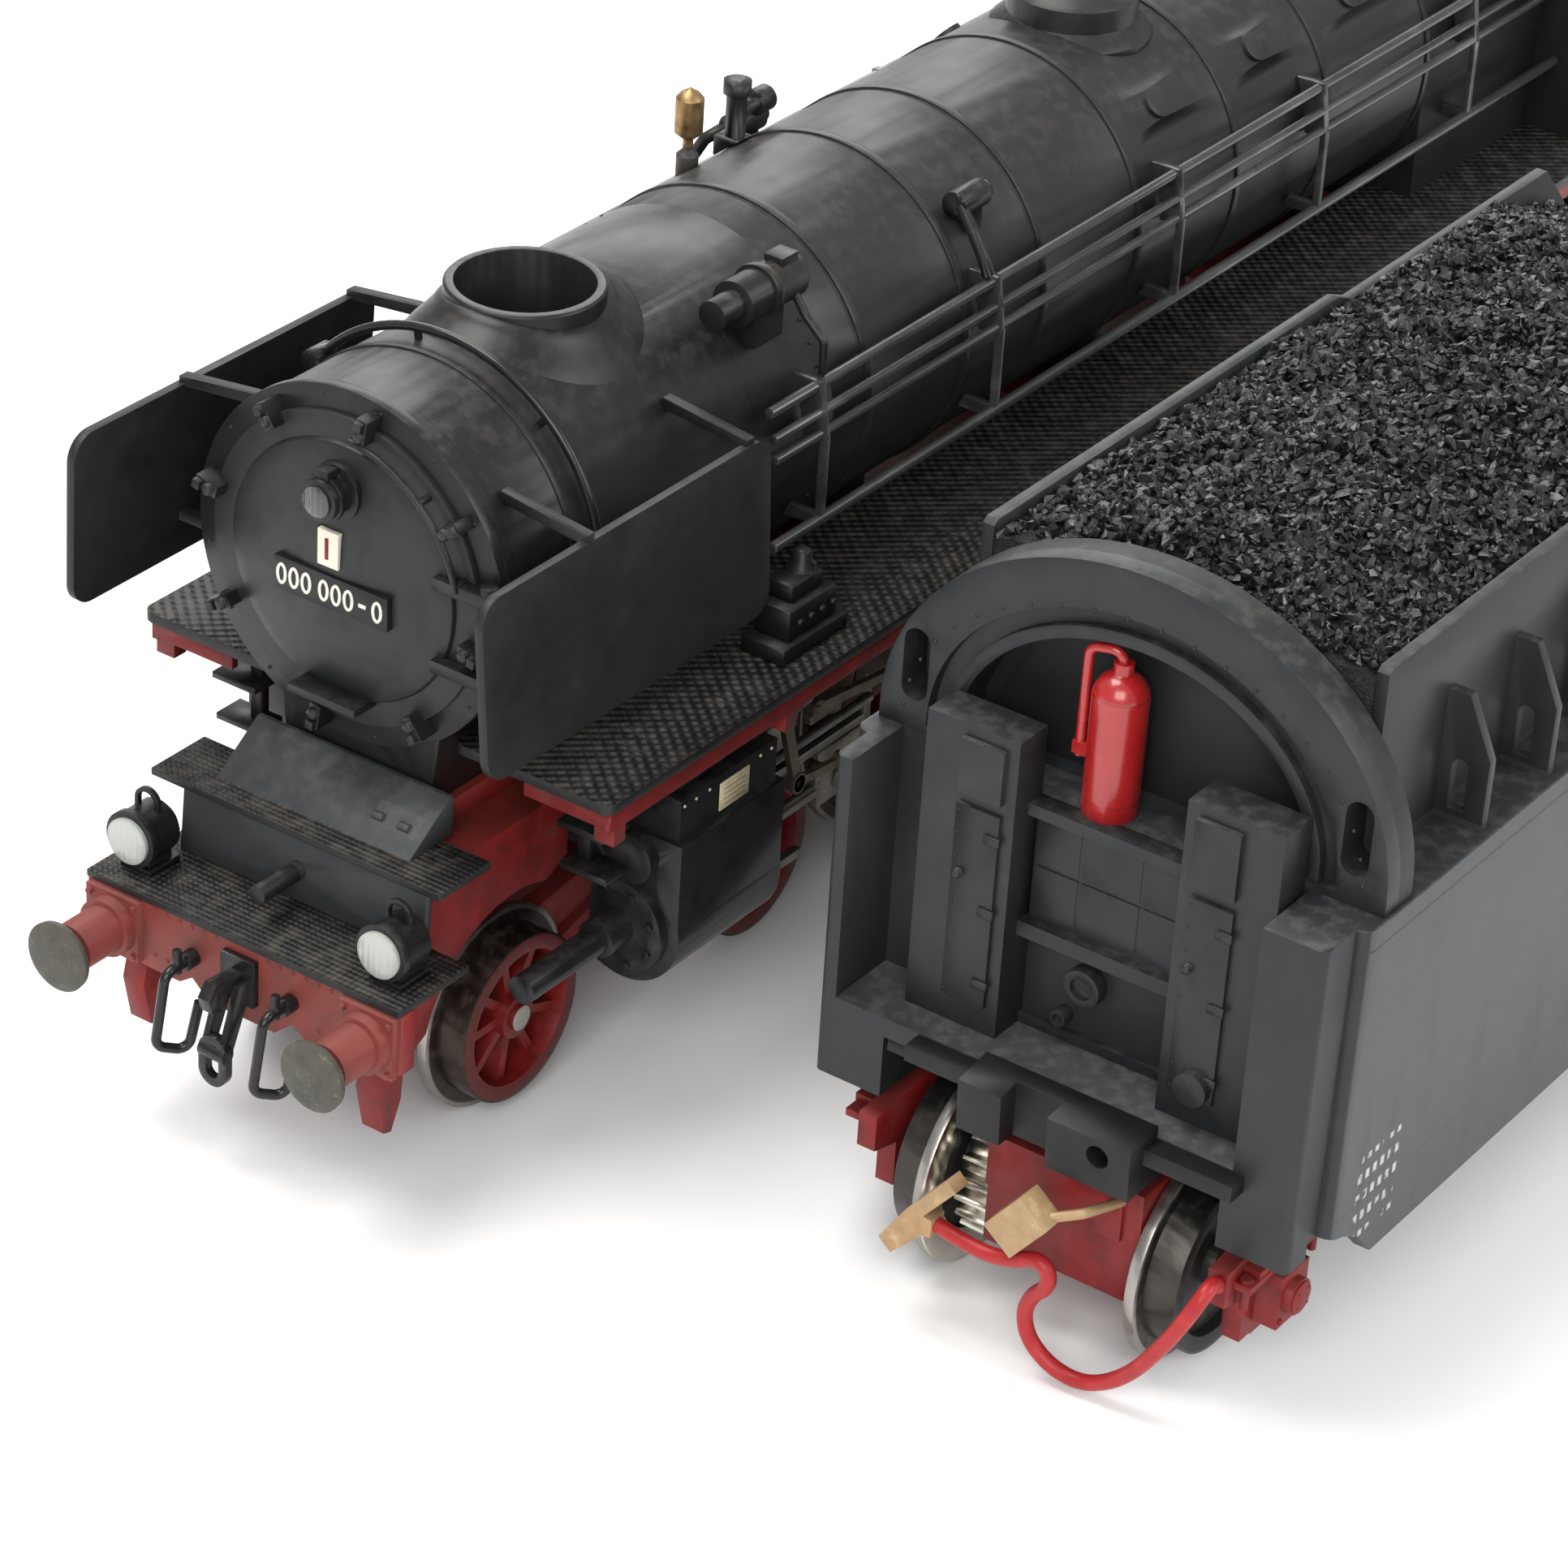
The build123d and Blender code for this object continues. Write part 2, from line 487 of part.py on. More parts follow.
with BuildPart() as whistle:
    with BuildSketch(Plane(origin=(33.8, -7.3, 0), x_dir=(1, 0, 0), z_dir=(0, -1, 0))):
        with BuildLine():
            Polyline((0, 44.8), (0.75, 44.8), (0.75, 46.7), (0.35, 47.1), (0.35, 47.8),
                     (0.95, 48.3), (0.95, 50.7), (0.6, 51.1), (0.2, 51.3), (0, 51.5), close=True)
        make_face()
    revolve(axis=Axis((33.8, -7.3, 0), (0, 0, 1)))
    boiler_clearance()
keep(whistle, "whistle")

with BuildPart() as boiler_handrail:
    rail_r = BOILER_R + 0.75
    with BuildLine():
        hoop = ThreePointArc((68.4, rail_r * math.cos(math.radians(12)),
                              BOILER_Z + rail_r * math.sin(math.radians(12))),
                             (68.4, 0, BOILER_Z + rail_r),
                             (68.4, rail_r * math.cos(math.radians(142)),
                              BOILER_Z + rail_r * math.sin(math.radians(142))))
    with BuildSketch(Plane(origin=hoop @ 0, z_dir=hoop % 0)):
        Circle(0.3)
    sweep(path=hoop)
    for a in (14, 50, 100, 140):
        with Locations(Location((68.4, 0, BOILER_Z), (a - 90, 0, 0))):
            with Locations((0, 0, BOILER_R + 0.4)):
                Cylinder(0.25, 1.0)
    end = hoop @ 1
    rod_x(67.5, 69.3, end.Y, end.Z, 0.75)
    boiler_clearance()
keep(boiler_handrail, "boiler_handrail")


def deflector(s):
    """A smoke deflector: leaning plate with rounded corners, rim and struts."""
    lean = math.radians(3.0)
    with BuildPart() as piece:
        with BuildSketch(Plane(origin=(0, s * 15.75, 30.8), x_dir=(1, 0, 0),
                               z_dir=(0, -s * math.cos(lean), -math.sin(lean)))) as outline:
            with BuildLine():
                if s > 0:
                    Polyline((56.2, 0), (84.2, 0), (84.6, 12.0), (56.2, 12.0), close=True)
                else:
                    Polyline((56.2, 0), (84.2, 0), (84.6, -12.0), (56.2, -12.0), close=True)
            make_face()
            fillet(outline.vertices(), radius=1.7)
        extrude(amount=-0.6)
        for x in (58.2, 74.2):
            front_plate(((s * 8.9, 43.3), (s * 9.2, 44.0), (s * 15.6, 43.2), (s * 15.6, 42.6),
                         (s * 15.3, 42.6)), x - 0.4, x + 0.4)
            block(x - 0.4, x + 0.4, min(s * 10.4, s * 16.0), max(s * 10.4, s * 16.0), 33.2, 33.8)
        boiler_clearance()
    return piece


with BuildPart() as smoke_deflectors:
    add(deflector(1).part)
    add(deflector(-1).part)
keep(smoke_deflectors, "smoke_deflectors")

# ======================================================================================
# ENGINE: running boards, cylinders, cab
# ======================================================================================
with BuildPart() as running_boards:
    for s in (-1, 1):
        block(-52, 75, min(s * BOARD_INNER, s * BOARD_HALF), max(s * BOARD_INNER, s * BOARD_HALF),
              BOARD_Z0, BOARD_Z1)
    fillet(running_boards.edges().filter_by(Axis.Z).group_by(Axis.X)[-1], radius=0.8)
    front_plate(((-6.6, 27.6), (-6.6, 20), (6.6, 20), (6.6, 27.6)), 55.9, 76.1,
                mode=Mode.SUBTRACT)
keep(running_boards, "running_boards")

with BuildPart() as board_valances:
    for s in (-1, 1):
        block(-51.5, 74.4, min(s * 17.5, s * 18.1), max(s * 17.5, s * 18.1), 23.8, BOARD_Z0)
        block(73.8, 74.4, min(s * 11.5, s * 18.1), max(s * 11.5, s * 18.1), 23.9, BOARD_Z0)
        for x in (72.8, 55.0, 37.0, 19.0, 1.0, -17.0, -35.0, -50.0):
            block(x, x + 1.2, min(s * 16.6, s * 18.1), max(s * 16.6, s * 18.1), 22.6, 24.2)
keep(board_valances, "board_valances")


def cylinder_block(s):
    """Outside cylinder with its valve chest, covers and tail rod guide."""
    with BuildPart() as piece:
        y = s * CYL_Y
        rod_x(CYL_X0, CYL_X1, y, CYL_Z, 4.2)
        inner, outer = sorted((s * 11.3, s * 17.4))
        block(CYL_X0, CYL_X1, inner, outer, CYL_Z, 18.4)
        side_in, side_out = sorted((s * 11.3, s * 16.9))
        block(CYL_X0 + 0.4, CYL_X1 - 0.4, side_in, side_out, 18.4, 21.4)
        # bracket to the frame, above the bogie wheels
        root, face = sorted((s * FRAME_Y1, s * 11.4))
        block(CYL_X0 + 0.8, 64.3, root, face, 14.4, 18.8)
        rod_x(CYL_X0 - 0.6, CYL_X1 + 0.8, y, CYL_Z, 3.4)
        rod_x(CYL_X0 - 0.7, CYL_X1 + 0.9, s * 14.0, 16.7, 1.75)
        rod_x(CYL_X1 + 0.8, 68.8, y, CYL_Z, 1.3)
        rod_x(68.8, 76.3, y, CYL_Z, 0.95)
        for x0, x1 in ((60.2, 64.6), (50.6, 56.6)):
            rod_x(x0, x1, s * 15.8, 21.9, 0.55)
        flat = s * 11.2
        low, high = sorted((0, flat))
        block(CYL_X0 - 3, 78, low, high, 5, 14.4, mode=Mode.SUBTRACT)
        for a in range(0, 360, 45):
            rod_x(CYL_X1 + 0.8, CYL_X1 + 1.05, y + 2.7 * math.cos(math.radians(a + 20)),
                  CYL_Z + 2.7 * math.sin(math.radians(a + 20)), 0.25)
        block(CYL_X1 + 0.7, CYL_X1 + 1.2, low, high, 5, 14.4, mode=Mode.SUBTRACT)
        # bore for the piston rod, and the hole for the valve spindle
        rod_x(CYL_X0 - 1, 75.2, y, CYL_Z, 0.58, mode=Mode.SUBTRACT)
        rod_x(CYL_X0 - 1, CYL_X0 + 3, s * 14.0, 16.7, 0.42, mode=Mode.SUBTRACT)
    return piece


with BuildPart() as cylinders:
    add(cylinder_block(1).part)
    add(cylinder_block(-1).part)
keep(cylinders, "cylinders")

with BuildPart() as motion_bracket:
    for s in (-1, 1):
        a, b = sorted((s * FRAME_Y1, s * 11.4))
        block(39.6, 40.4, a, b, 14.3, 20.0)
        block(39.6, 40.4, a, b, 18.0, 24.6)
        a, b = sorted((s * 11.3, s * 15.6))
        block(39.6, 40.4, a, b, 18.3, 24.6)
        a, b = sorted((s * CROSSHEAD_Y0, s * CROSSHEAD_Y1))
        block(39.6, 40.4, a, b, 14.7, 18.4)
        block(39.6, CYL_X0 - 0.8, a, b, 14.7, 15.3)
        block(51.0, CYL_X0 - 0.8, a, b, 14.7, 15.8)
        a, b = sorted((s * 15.0, s * 15.5))
        side_plate(((39.7, 24.0), (39.7, 16.4), (32.0, 17.2), (32.0, 19.8)), a, b)
        rod_y(LINK_X, a - 0.1, b + 0.1, LINK_Z, 0.53, mode=Mode.SUBTRACT)
        rod_x(40.3, CYL_X0 + 1, s * 14.0, 16.7, 0.34)
        a, b = sorted((s * 14.2, s * 14.8))
        block(53.0, 53.6, a, b, 8.6, 17.3)
        block(48.5, 53.6, a, b, 8.6, 9.2)
keep(motion_bracket, "motion_bracket")


def cab_profile(half, rise, base):
    """Half ellipse of the cab roof joined to straight sides, in front view."""
    with Locations((0, CAB_EAVES)):
        Ellipse(half, rise)
        with Locations((0, -20)):
            Rectangle(2 * half + 2, 40, mode=Mode.SUBTRACT)
    with Locations((0, (CAB_EAVES + base) / 2)):
        Rectangle(2 * half, CAB_EAVES - base)


FRONT_VIEW = Plane(origin=(0, 0, 0), x_dir=(0, 1, 0), z_dir=(1, 0, 0))
with BuildPart() as cab:
    with BuildSketch(FRONT_VIEW.offset(CAB_X0)):
        cab_profile(CAB_HALF, 9.2, 20.6)
    extrude(amount=BOILER_BACK - CAB_X0)
    with BuildSketch(FRONT_VIEW.offset(CAB_X0 - 1)):
        cab_profile(CAB_HALF - 0.9, 8.4, 26.2)
    extrude(amount=BOILER_BACK - CAB_X0 - 0.2, mode=Mode.SUBTRACT)
    # the roof is a piece of its own, so the walls end at the eaves
    block(CAB_X0 - 2, BOILER_BACK - 1.2, -20, 20, CAB_EAVES, 60, mode=Mode.SUBTRACT)
    block(CAB_X0 - 2, BOILER_BACK + 1, -CAB_HALF + 1.2, CAB_HALF - 1.2, 10, 25.3,
          mode=Mode.SUBTRACT)
    block(CAB_X0, -54, -6, 6, FRAME_TOP, 25.4)
    for s in (-1, 1):
        block(-66.5, -60.5, s * CAB_HALF - 2, s * CAB_HALF + 2, 33.5, 39.0, mode=Mode.SUBTRACT)
        block(-74, -70.5, s * CAB_HALF - 2, s * CAB_HALF + 2, 27.5, 39.6, mode=Mode.SUBTRACT)
        with Locations((BOILER_BACK, s * 13.9, 39.6)):
            Box(6, 2.6, 4.4, mode=Mode.SUBTRACT)
        block(-56.5, -53.1, min(s * 12.4, s * 15.4), max(s * 12.4, s * 15.4), 26.1, 30.5)
    # boiler backhead with its gauges and fire door
    rod_x(-56.8, BOILER_BACK - 1, 0, 35.0, 8.6)
    block(-57.6, -56.6, -2.2, 2.2, 28.5, 31.5)
    for y, z in ((-4.5, 39), (-1.5, 40.4), (1.5, 40.4), (4.5, 39)):
        rod_x(-57.5, -56.7, y, z, 0.8)
    rod_x(-58.2, -56.7, 0, 36.5, 0.35)
    block(-58.4, -58.0, -3.2, 3.2, 36.2, 36.8)
keep(cab, "cab")

with BuildPart() as cab_roof:
    with BuildSketch(FRONT_VIEW.offset(CAB_X0 - 3)):
        with Locations((0, CAB_EAVES)):
            Ellipse(CAB_HALF + 0.7, 10.1)
            Ellipse(CAB_HALF, 9.2, mode=Mode.SUBTRACT)
            with Locations((0, -20)):
                Rectangle(60, 40, mode=Mode.SUBTRACT)
    extrude(amount=BOILER_BACK - CAB_X0 + 4)
    block(-68, -58, -4.5, 4.5, 49.4, 51.5)
    with BuildSketch(FRONT_VIEW.offset(-80)):
        with Locations((0, CAB_EAVES)):
            Ellipse(CAB_HALF, 9.2)
    extrude(amount=40, mode=Mode.SUBTRACT)
keep(cab_roof, "cab_roof")

# ======================================================================================
# ENGINE: running gear
# ======================================================================================
def spoked_wheel(x, y, s, r, spokes, hub_r, rim):
    """One spoked wheel; its back face is at WHEEL_INNER from the centre line y."""
    face = Plane(origin=(x, y + s * WHEEL_INNER, r), x_dir=(1, 0, 0), z_dir=(0, s, 0))
    with BuildSketch(face) as ring1:
        Circle(r + FLANGE)
        Circle(r - rim, mode=Mode.SUBTRACT)
    extrude(ring1.sketch, amount=FLANGE_WIDTH)
    with BuildSketch(face) as ring2:
        Circle(r)
        Circle(r - rim, mode=Mode.SUBTRACT)
    extrude(ring2.sketch, amount=WHEEL_WIDTH)
    with BuildSketch(face) as ring3:
        with PolarLocations((hub_r + r - rim) / 2, spokes):
            Rectangle(r - rim - hub_r + 0.8, 0.62)
    extrude(ring3.sketch, amount=WHEEL_WIDTH - 0.8)
    with BuildSketch(face) as ring4:
        Circle(hub_r)
    extrude(ring4.sketch, amount=WHEEL_WIDTH - 0.2)


def small_axle(x, y, r, spokes, pivot_len=WHEEL_OUTER + 0.1):
    with BuildPart() as piece:
        for s in (-1, 1):
            spoked_wheel(x, y, s, r, spokes, 1.5, 1.1)
            rod_y(x, y + s * WHEEL_INNER, y + s * pivot_len, r, AXLE_R - 0.3)
        rod_y(x, y - WHEEL_INNER + JOINT_GAP, y + WHEEL_INNER - JOINT_GAP, r, AXLE_R)
    return piece


keep(small_axle(LEAD_X1, 0, LEADING_R, 9), "leading_wheelset_1")
keep(small_axle(LEAD_X2, 0, LEADING_R, 9), "leading_wheelset_2")
keep(small_axle(TRAIL_X, 0, TRAILING_R, 12), "trailing_wheelset")


def driving_axle(x, long_pin):
    """Driving wheelset with its crank pins; the middle one carries the return cranks."""
    with BuildPart() as piece:
        for s, angle in ((1, LEFT_CRANK), (-1, RIGHT_CRANK)):
            face = Plane(origin=(x, s * WHEEL_INNER, DRIVER_R), x_dir=(1, 0, 0),
                         z_dir=(0, s, 0))
            with BuildSketch(face):
                Circle(DRIVER_R + FLANGE)
                Circle(DRIVER_R - 1.3, mode=Mode.SUBTRACT)
            extrude(amount=FLANGE_WIDTH)
            with BuildSketch(face):
                Circle(DRIVER_R)
                Circle(DRIVER_R - 1.3, mode=Mode.SUBTRACT)
            extrude(amount=WHEEL_WIDTH)
            with BuildSketch(face):
                with PolarLocations((2.0 + DRIVER_R - 1.3) / 2, 16):
                    Rectangle(DRIVER_R - 1.3 - 2.0 + 0.8, 0.66)
            extrude(amount=WHEEL_WIDTH - 0.8)
            rod_y(x, s * WHEEL_INNER, s * (WHEEL_OUTER - 0.1), DRIVER_R, 2.3)
            px, pz = crank(angle)
            rod_y(x + px, s * WHEEL_INNER, s * (WHEEL_OUTER - 0.1), pz, 1.8)
            # balance weight between the spokes, opposite the pin
            wx, wz = crank(angle + 180, 7.2)
            with Locations(Location((x + wx, s * (WHEEL_INNER + 1.15), wz), (0, -angle, 0))):
                Box(3.4, 2.3, 9.0)
            pin_end = 13.2 if long_pin else 11.35
            rod_y(x + px, s * (WHEEL_OUTER - 0.2), s * pin_end, pz, PIN_R)
            if long_pin:
                # return crank: an arm from the pin end back towards the axle
                ex, ez = crank(angle + 90 * s * (-1 if s < 0 else 1), 1.4)
                reach = math.hypot(ex - px, ez - pz)
                turn = math.degrees(math.atan2(ez - pz, ex - px))
                middle = (x + (ex + px) / 2, s * 13.0, (ez + pz) / 2)
                with Locations(Location(middle, (0, -turn, 0))):
                    Box(reach, 0.4, 1.1)
                rod_y(x + px, s * 12.8, s * 13.3, pz, 1.0)
                rod_y(x + ex, s * 12.8, s * 13.3, ez, 0.7)
            else:
                rod_y(x + px, s * 11.3, s * 11.55, pz, 1.05)
        rod_y(x, -WHEEL_INNER + JOINT_GAP, WHEEL_INNER - JOINT_GAP, DRIVER_R, AXLE_R)
    return piece


keep(driving_axle(DRIVER_PITCH, False), "driver_1")
keep(driving_axle(0, True), "driver_2")
keep(driving_axle(-DRIVER_PITCH, False), "driver_3")


def coupling_rod(s, angle):
    """Fluted rod that joins the three crank pins of one side."""
    px, pz = crank(angle)
    y0, y1 = sorted((s * COUPLING_Y0, s * COUPLING_Y1))
    with BuildPart() as piece:
        block(px - DRIVER_PITCH, px + DRIVER_PITCH, y0 + 0.1, y1 - 0.1, pz - 0.75, pz + 0.75)
        for x in (-DRIVER_PITCH, 0, DRIVER_PITCH):
            rod_y(px + x, y0, y1, pz, 1.6)
            block(px + x - 0.5, px + x + 0.5, y0 + 0.1, y1 - 0.1, pz + 1.3, pz + 2.1)
        for x in (-DRIVER_PITCH / 2, DRIVER_PITCH / 2):
            flute = s * COUPLING_Y1 - s * 0.2
            a, b = sorted((flute, flute + s * 0.4))
            block(px + x - 10, px + x + 10, a, b, pz - 0.35, pz + 0.35, mode=Mode.SUBTRACT)
        for x in (-DRIVER_PITCH, 0, DRIVER_PITCH):
            rod_y(px + x, y0 - 1, y1 + 1, pz, PIN_HOLE_R, mode=Mode.SUBTRACT)
    return piece


keep(coupling_rod(1, LEFT_CRANK), "coupling_rod_left")
keep(coupling_rod(-1, RIGHT_CRANK), "coupling_rod_right")


def crosshead_x(angle):
    """Rest position of the crosshead pivot for a given crank angle."""
    px, pz = crank(angle)
    return px + math.sqrt(CONNECT_LENGTH ** 2 - (CYL_Z - pz) ** 2)


def connecting_rod(s, angle):
    px, pz = crank(angle)
    fx = crosshead_x(angle)
    tilt = math.degrees(math.atan2(CYL_Z - pz, fx - px))
    y0, y1 = sorted((s * CONNECT_Y0, s * CONNECT_Y1))
    with BuildPart() as piece:
        with Locations(Location(((px + fx) / 2, (y0 + y1) / 2, (pz + CYL_Z) / 2),
                                (0, -tilt, 0))):
            Box(CONNECT_LENGTH, y1 - y0, 1.5)
            with Locations((0, s * (y1 - y0) / 2, 0)):
                Box(CONNECT_LENGTH - 8, 0.4, 0.7, mode=Mode.SUBTRACT)
        rod_y(px, y0, y1, pz, 1.75)
        rod_y(fx, y0, y1, CYL_Z, 1.3)
        rod_y(px, y0 - 1, y1 + 1, pz, PIN_HOLE_R, mode=Mode.SUBTRACT)
        rod_y(fx, y0 - 1, y1 + 1, CYL_Z, 0.6, mode=Mode.SUBTRACT)
    return piece


keep(connecting_rod(1, LEFT_CRANK), "connecting_rod_left")
keep(connecting_rod(-1, RIGHT_CRANK), "connecting_rod_right")


def crosshead(s, angle, rod_end):
    x = crosshead_x(angle)
    y0, y1 = sorted((s * CROSSHEAD_Y0, s * CROSSHEAD_Y1))
    with BuildPart() as piece:
        side_plate(((x - 2.0, 10.3), (x + 2.6, 10.3), (x + 3.0, 12.6), (x + 1.8, 13.4),
                    (x + 2.8, 14.0), (x + 2.8, 14.5), (x - 2.8, 14.5), (x - 2.8, 14.0),
                    (x - 1.6, 13.4), (x - 2.4, 12.6)), y0, y1)
        rod_y(x, y0 if s > 0 else y0 - 0.4, y1 + 0.4 if s > 0 else y1, CYL_Z, 0.8)
        rod_x(x + 2.5, rod_end, s * CYL_Y, CYL_Z, 0.5)
    return piece


keep(crosshead(1, LEFT_CRANK, 60.0), "crosshead_left")
keep(crosshead(-1, RIGHT_CRANK, 66.0), "crosshead_right")

with BuildPart() as expansion_links:
    for s, end_x in ((1, 0.6), (-1, -0.6)):
        y0, y1 = sorted((s * 13.9, s * 14.6))
        side_plate(((LINK_X - 0.9, 22.4), (LINK_X + 1.0, 22.4), (LINK_X + 1.7, 20.0),
                    (LINK_X + 1.9, 18.5), (LINK_X + 1.7, 17.0), (LINK_X + 1.0, 14.2),
                    (LINK_X - 1.0, 13.6), (LINK_X - 0.3, 16.8), (LINK_X - 0.1, 18.5),
                    (LINK_X - 0.3, 20.2)), y0, y1)
        rod_y(LINK_X, s * 13.9, s * 14.8, LINK_Z, 1.1)
        rod_y(LINK_X, s * 14.5, s * 15.7, LINK_Z, 0.45)
        side_plate(((LINK_X - 1.0, 13.4), (LINK_X + 0.6, 13.6), (LINK_X + 0.6, 14.8),
                    (LINK_X - 0.8, 14.8), (end_x, 10.7), (end_x, 9.8)),
                   min(s * 14.0, s * 14.5), max(s * 14.0, s * 14.5))
        rod_y(end_x, s * 14.0, s * 14.5, 10.25, 0.9)
keep(expansion_links, "expansion_links")

with BuildPart() as lead_bogie:
    for s in (-1, 1):
        y0, y1 = sorted((s * 5.2, s * 6.5))
        side_plate(((LEAD_X2 - 4.5, 3.6), (LEAD_X2 + 3, 3.6), (LEAD_PIVOT_X - 5, 5.0),
                    (LEAD_PIVOT_X + 5, 5.0), (LEAD_X1 - 3, 3.6), (LEAD_X1 + 4.5, 3.6),
                    (LEAD_X1 + 5.5, 7.0), (LEAD_X1 + 3, 8.6), (LEAD_PIVOT_X, 10.4),
                    (LEAD_X2 - 3, 8.6), (LEAD_X2 - 4.5, 7.0)), y0, y1)
        # equalising spring hung between the axles
        side_plate(((LEAD_PIVOT_X - 6.5, 6.2), (LEAD_PIVOT_X, 7.8), (LEAD_PIVOT_X + 6.5, 6.2),
                    (LEAD_PIVOT_X + 6.5, 5.4), (LEAD_PIVOT_X, 4.2), (LEAD_PIVOT_X - 6.5, 5.4)),
                   min(s * 6.4, s * 7.0), max(s * 6.4, s * 7.0))
    block(LEAD_PIVOT_X - 3.5, LEAD_PIVOT_X + 3.5, -5.3, 5.3, 5.4, 10.2)
    for x in (LEAD_X1 + 3.6, LEAD_X2 - 3.8):
        block(x - 0.6, x + 0.6, -5.3, 5.3, 4.6, 7.0)
    rod_z(LEAD_PIVOT_X, 0, 10, 15.6, AXLE_R)
    rod_z(LEAD_PIVOT_X, 0, 10.1, 13.4, 2.4)
    for x in (LEAD_X1, LEAD_X2):
        rod_y(x, -7.1, 7.1, LEADING_R, AXLE_HOLE_R, mode=Mode.SUBTRACT)
keep(lead_bogie, "lead_bogie")

with BuildPart() as trailing_truck:
    for s in (-1, 1):
        y0, y1 = sorted((s * 5.2, s * 6.4))
        side_plate(((TRAIL_PIVOT_X - 1, 5.0), (-62, 5.0), (TRAIL_X - 3, 5.0), (-77.5, 7.0),
                    (-77.5, 10.0), (-66, 10.0), (TRAIL_PIVOT_X - 6, 7.8),
                    (TRAIL_PIVOT_X - 1, 7.8)), y0, y1)
        # outside frame with its axle box and spring
        y0, y1 = sorted((s * 10.6, s * 11.6))
        side_plate(((-62.0, 11.6), (-62.0, 9.2), (TRAIL_X + 3, 5.6), (TRAIL_X + 2, 4.4),
                    (TRAIL_X - 2, 4.4), (TRAIL_X - 3, 5.6), (-78.6, 9.2), (-78.6, 11.6)), y0, y1)
        y0, y1 = sorted((s * 11.5, s * 12.3))
        block(TRAIL_X - 1.7, TRAIL_X + 1.7, y0, y1, 5.2, 9.4)
        block(TRAIL_X - 5.0, TRAIL_X + 5.0, y0, y1, 10.2, 10.9)
    block(-79.6, -79.0, -11.6, 11.6, 9.4, 11.6)
    block(-79.1, -77.4, 4.9, 6.4, 7.4, 9.9)
    block(-79.1, -77.4, -6.4, -4.9, 7.4, 9.9)
    for s in (-1, 1):
        y0, y1 = sorted((s * 10.6, s * 11.6))
        block(-79.1, -78.4, y0, y1, 9.4, 11.6)
    block(TRAIL_PIVOT_X - 2, TRAIL_PIVOT_X + 2, -6.4, 6.4, 5.0, 7.8)
    rod_z(TRAIL_PIVOT_X, 0, 7.7, 12.6, AXLE_R)
    rod_z(TRAIL_PIVOT_X, 0, 7.7, 9.3, 2.2)
    rod_y(TRAIL_X, -7.1, 7.1, TRAILING_R, AXLE_HOLE_R, mode=Mode.SUBTRACT)
keep(trailing_truck, "trailing_truck")

with BuildPart() as drawbar:
    block(-88.0, -75.4, -1.3, 1.3, 14.9, 15.7)
    rod_z(-76.5, 0, 14.9, 19.4, 0.8)
    rod_z(-76.5, 0, 14.9, 16.1, 1.5)
    rod_z(-88.0, 0, 14.9, 15.7, 1.9)
    rod_z(-88.0, 0, 14, 17, 0.9, mode=Mode.SUBTRACT)
keep(drawbar, "drawbar")

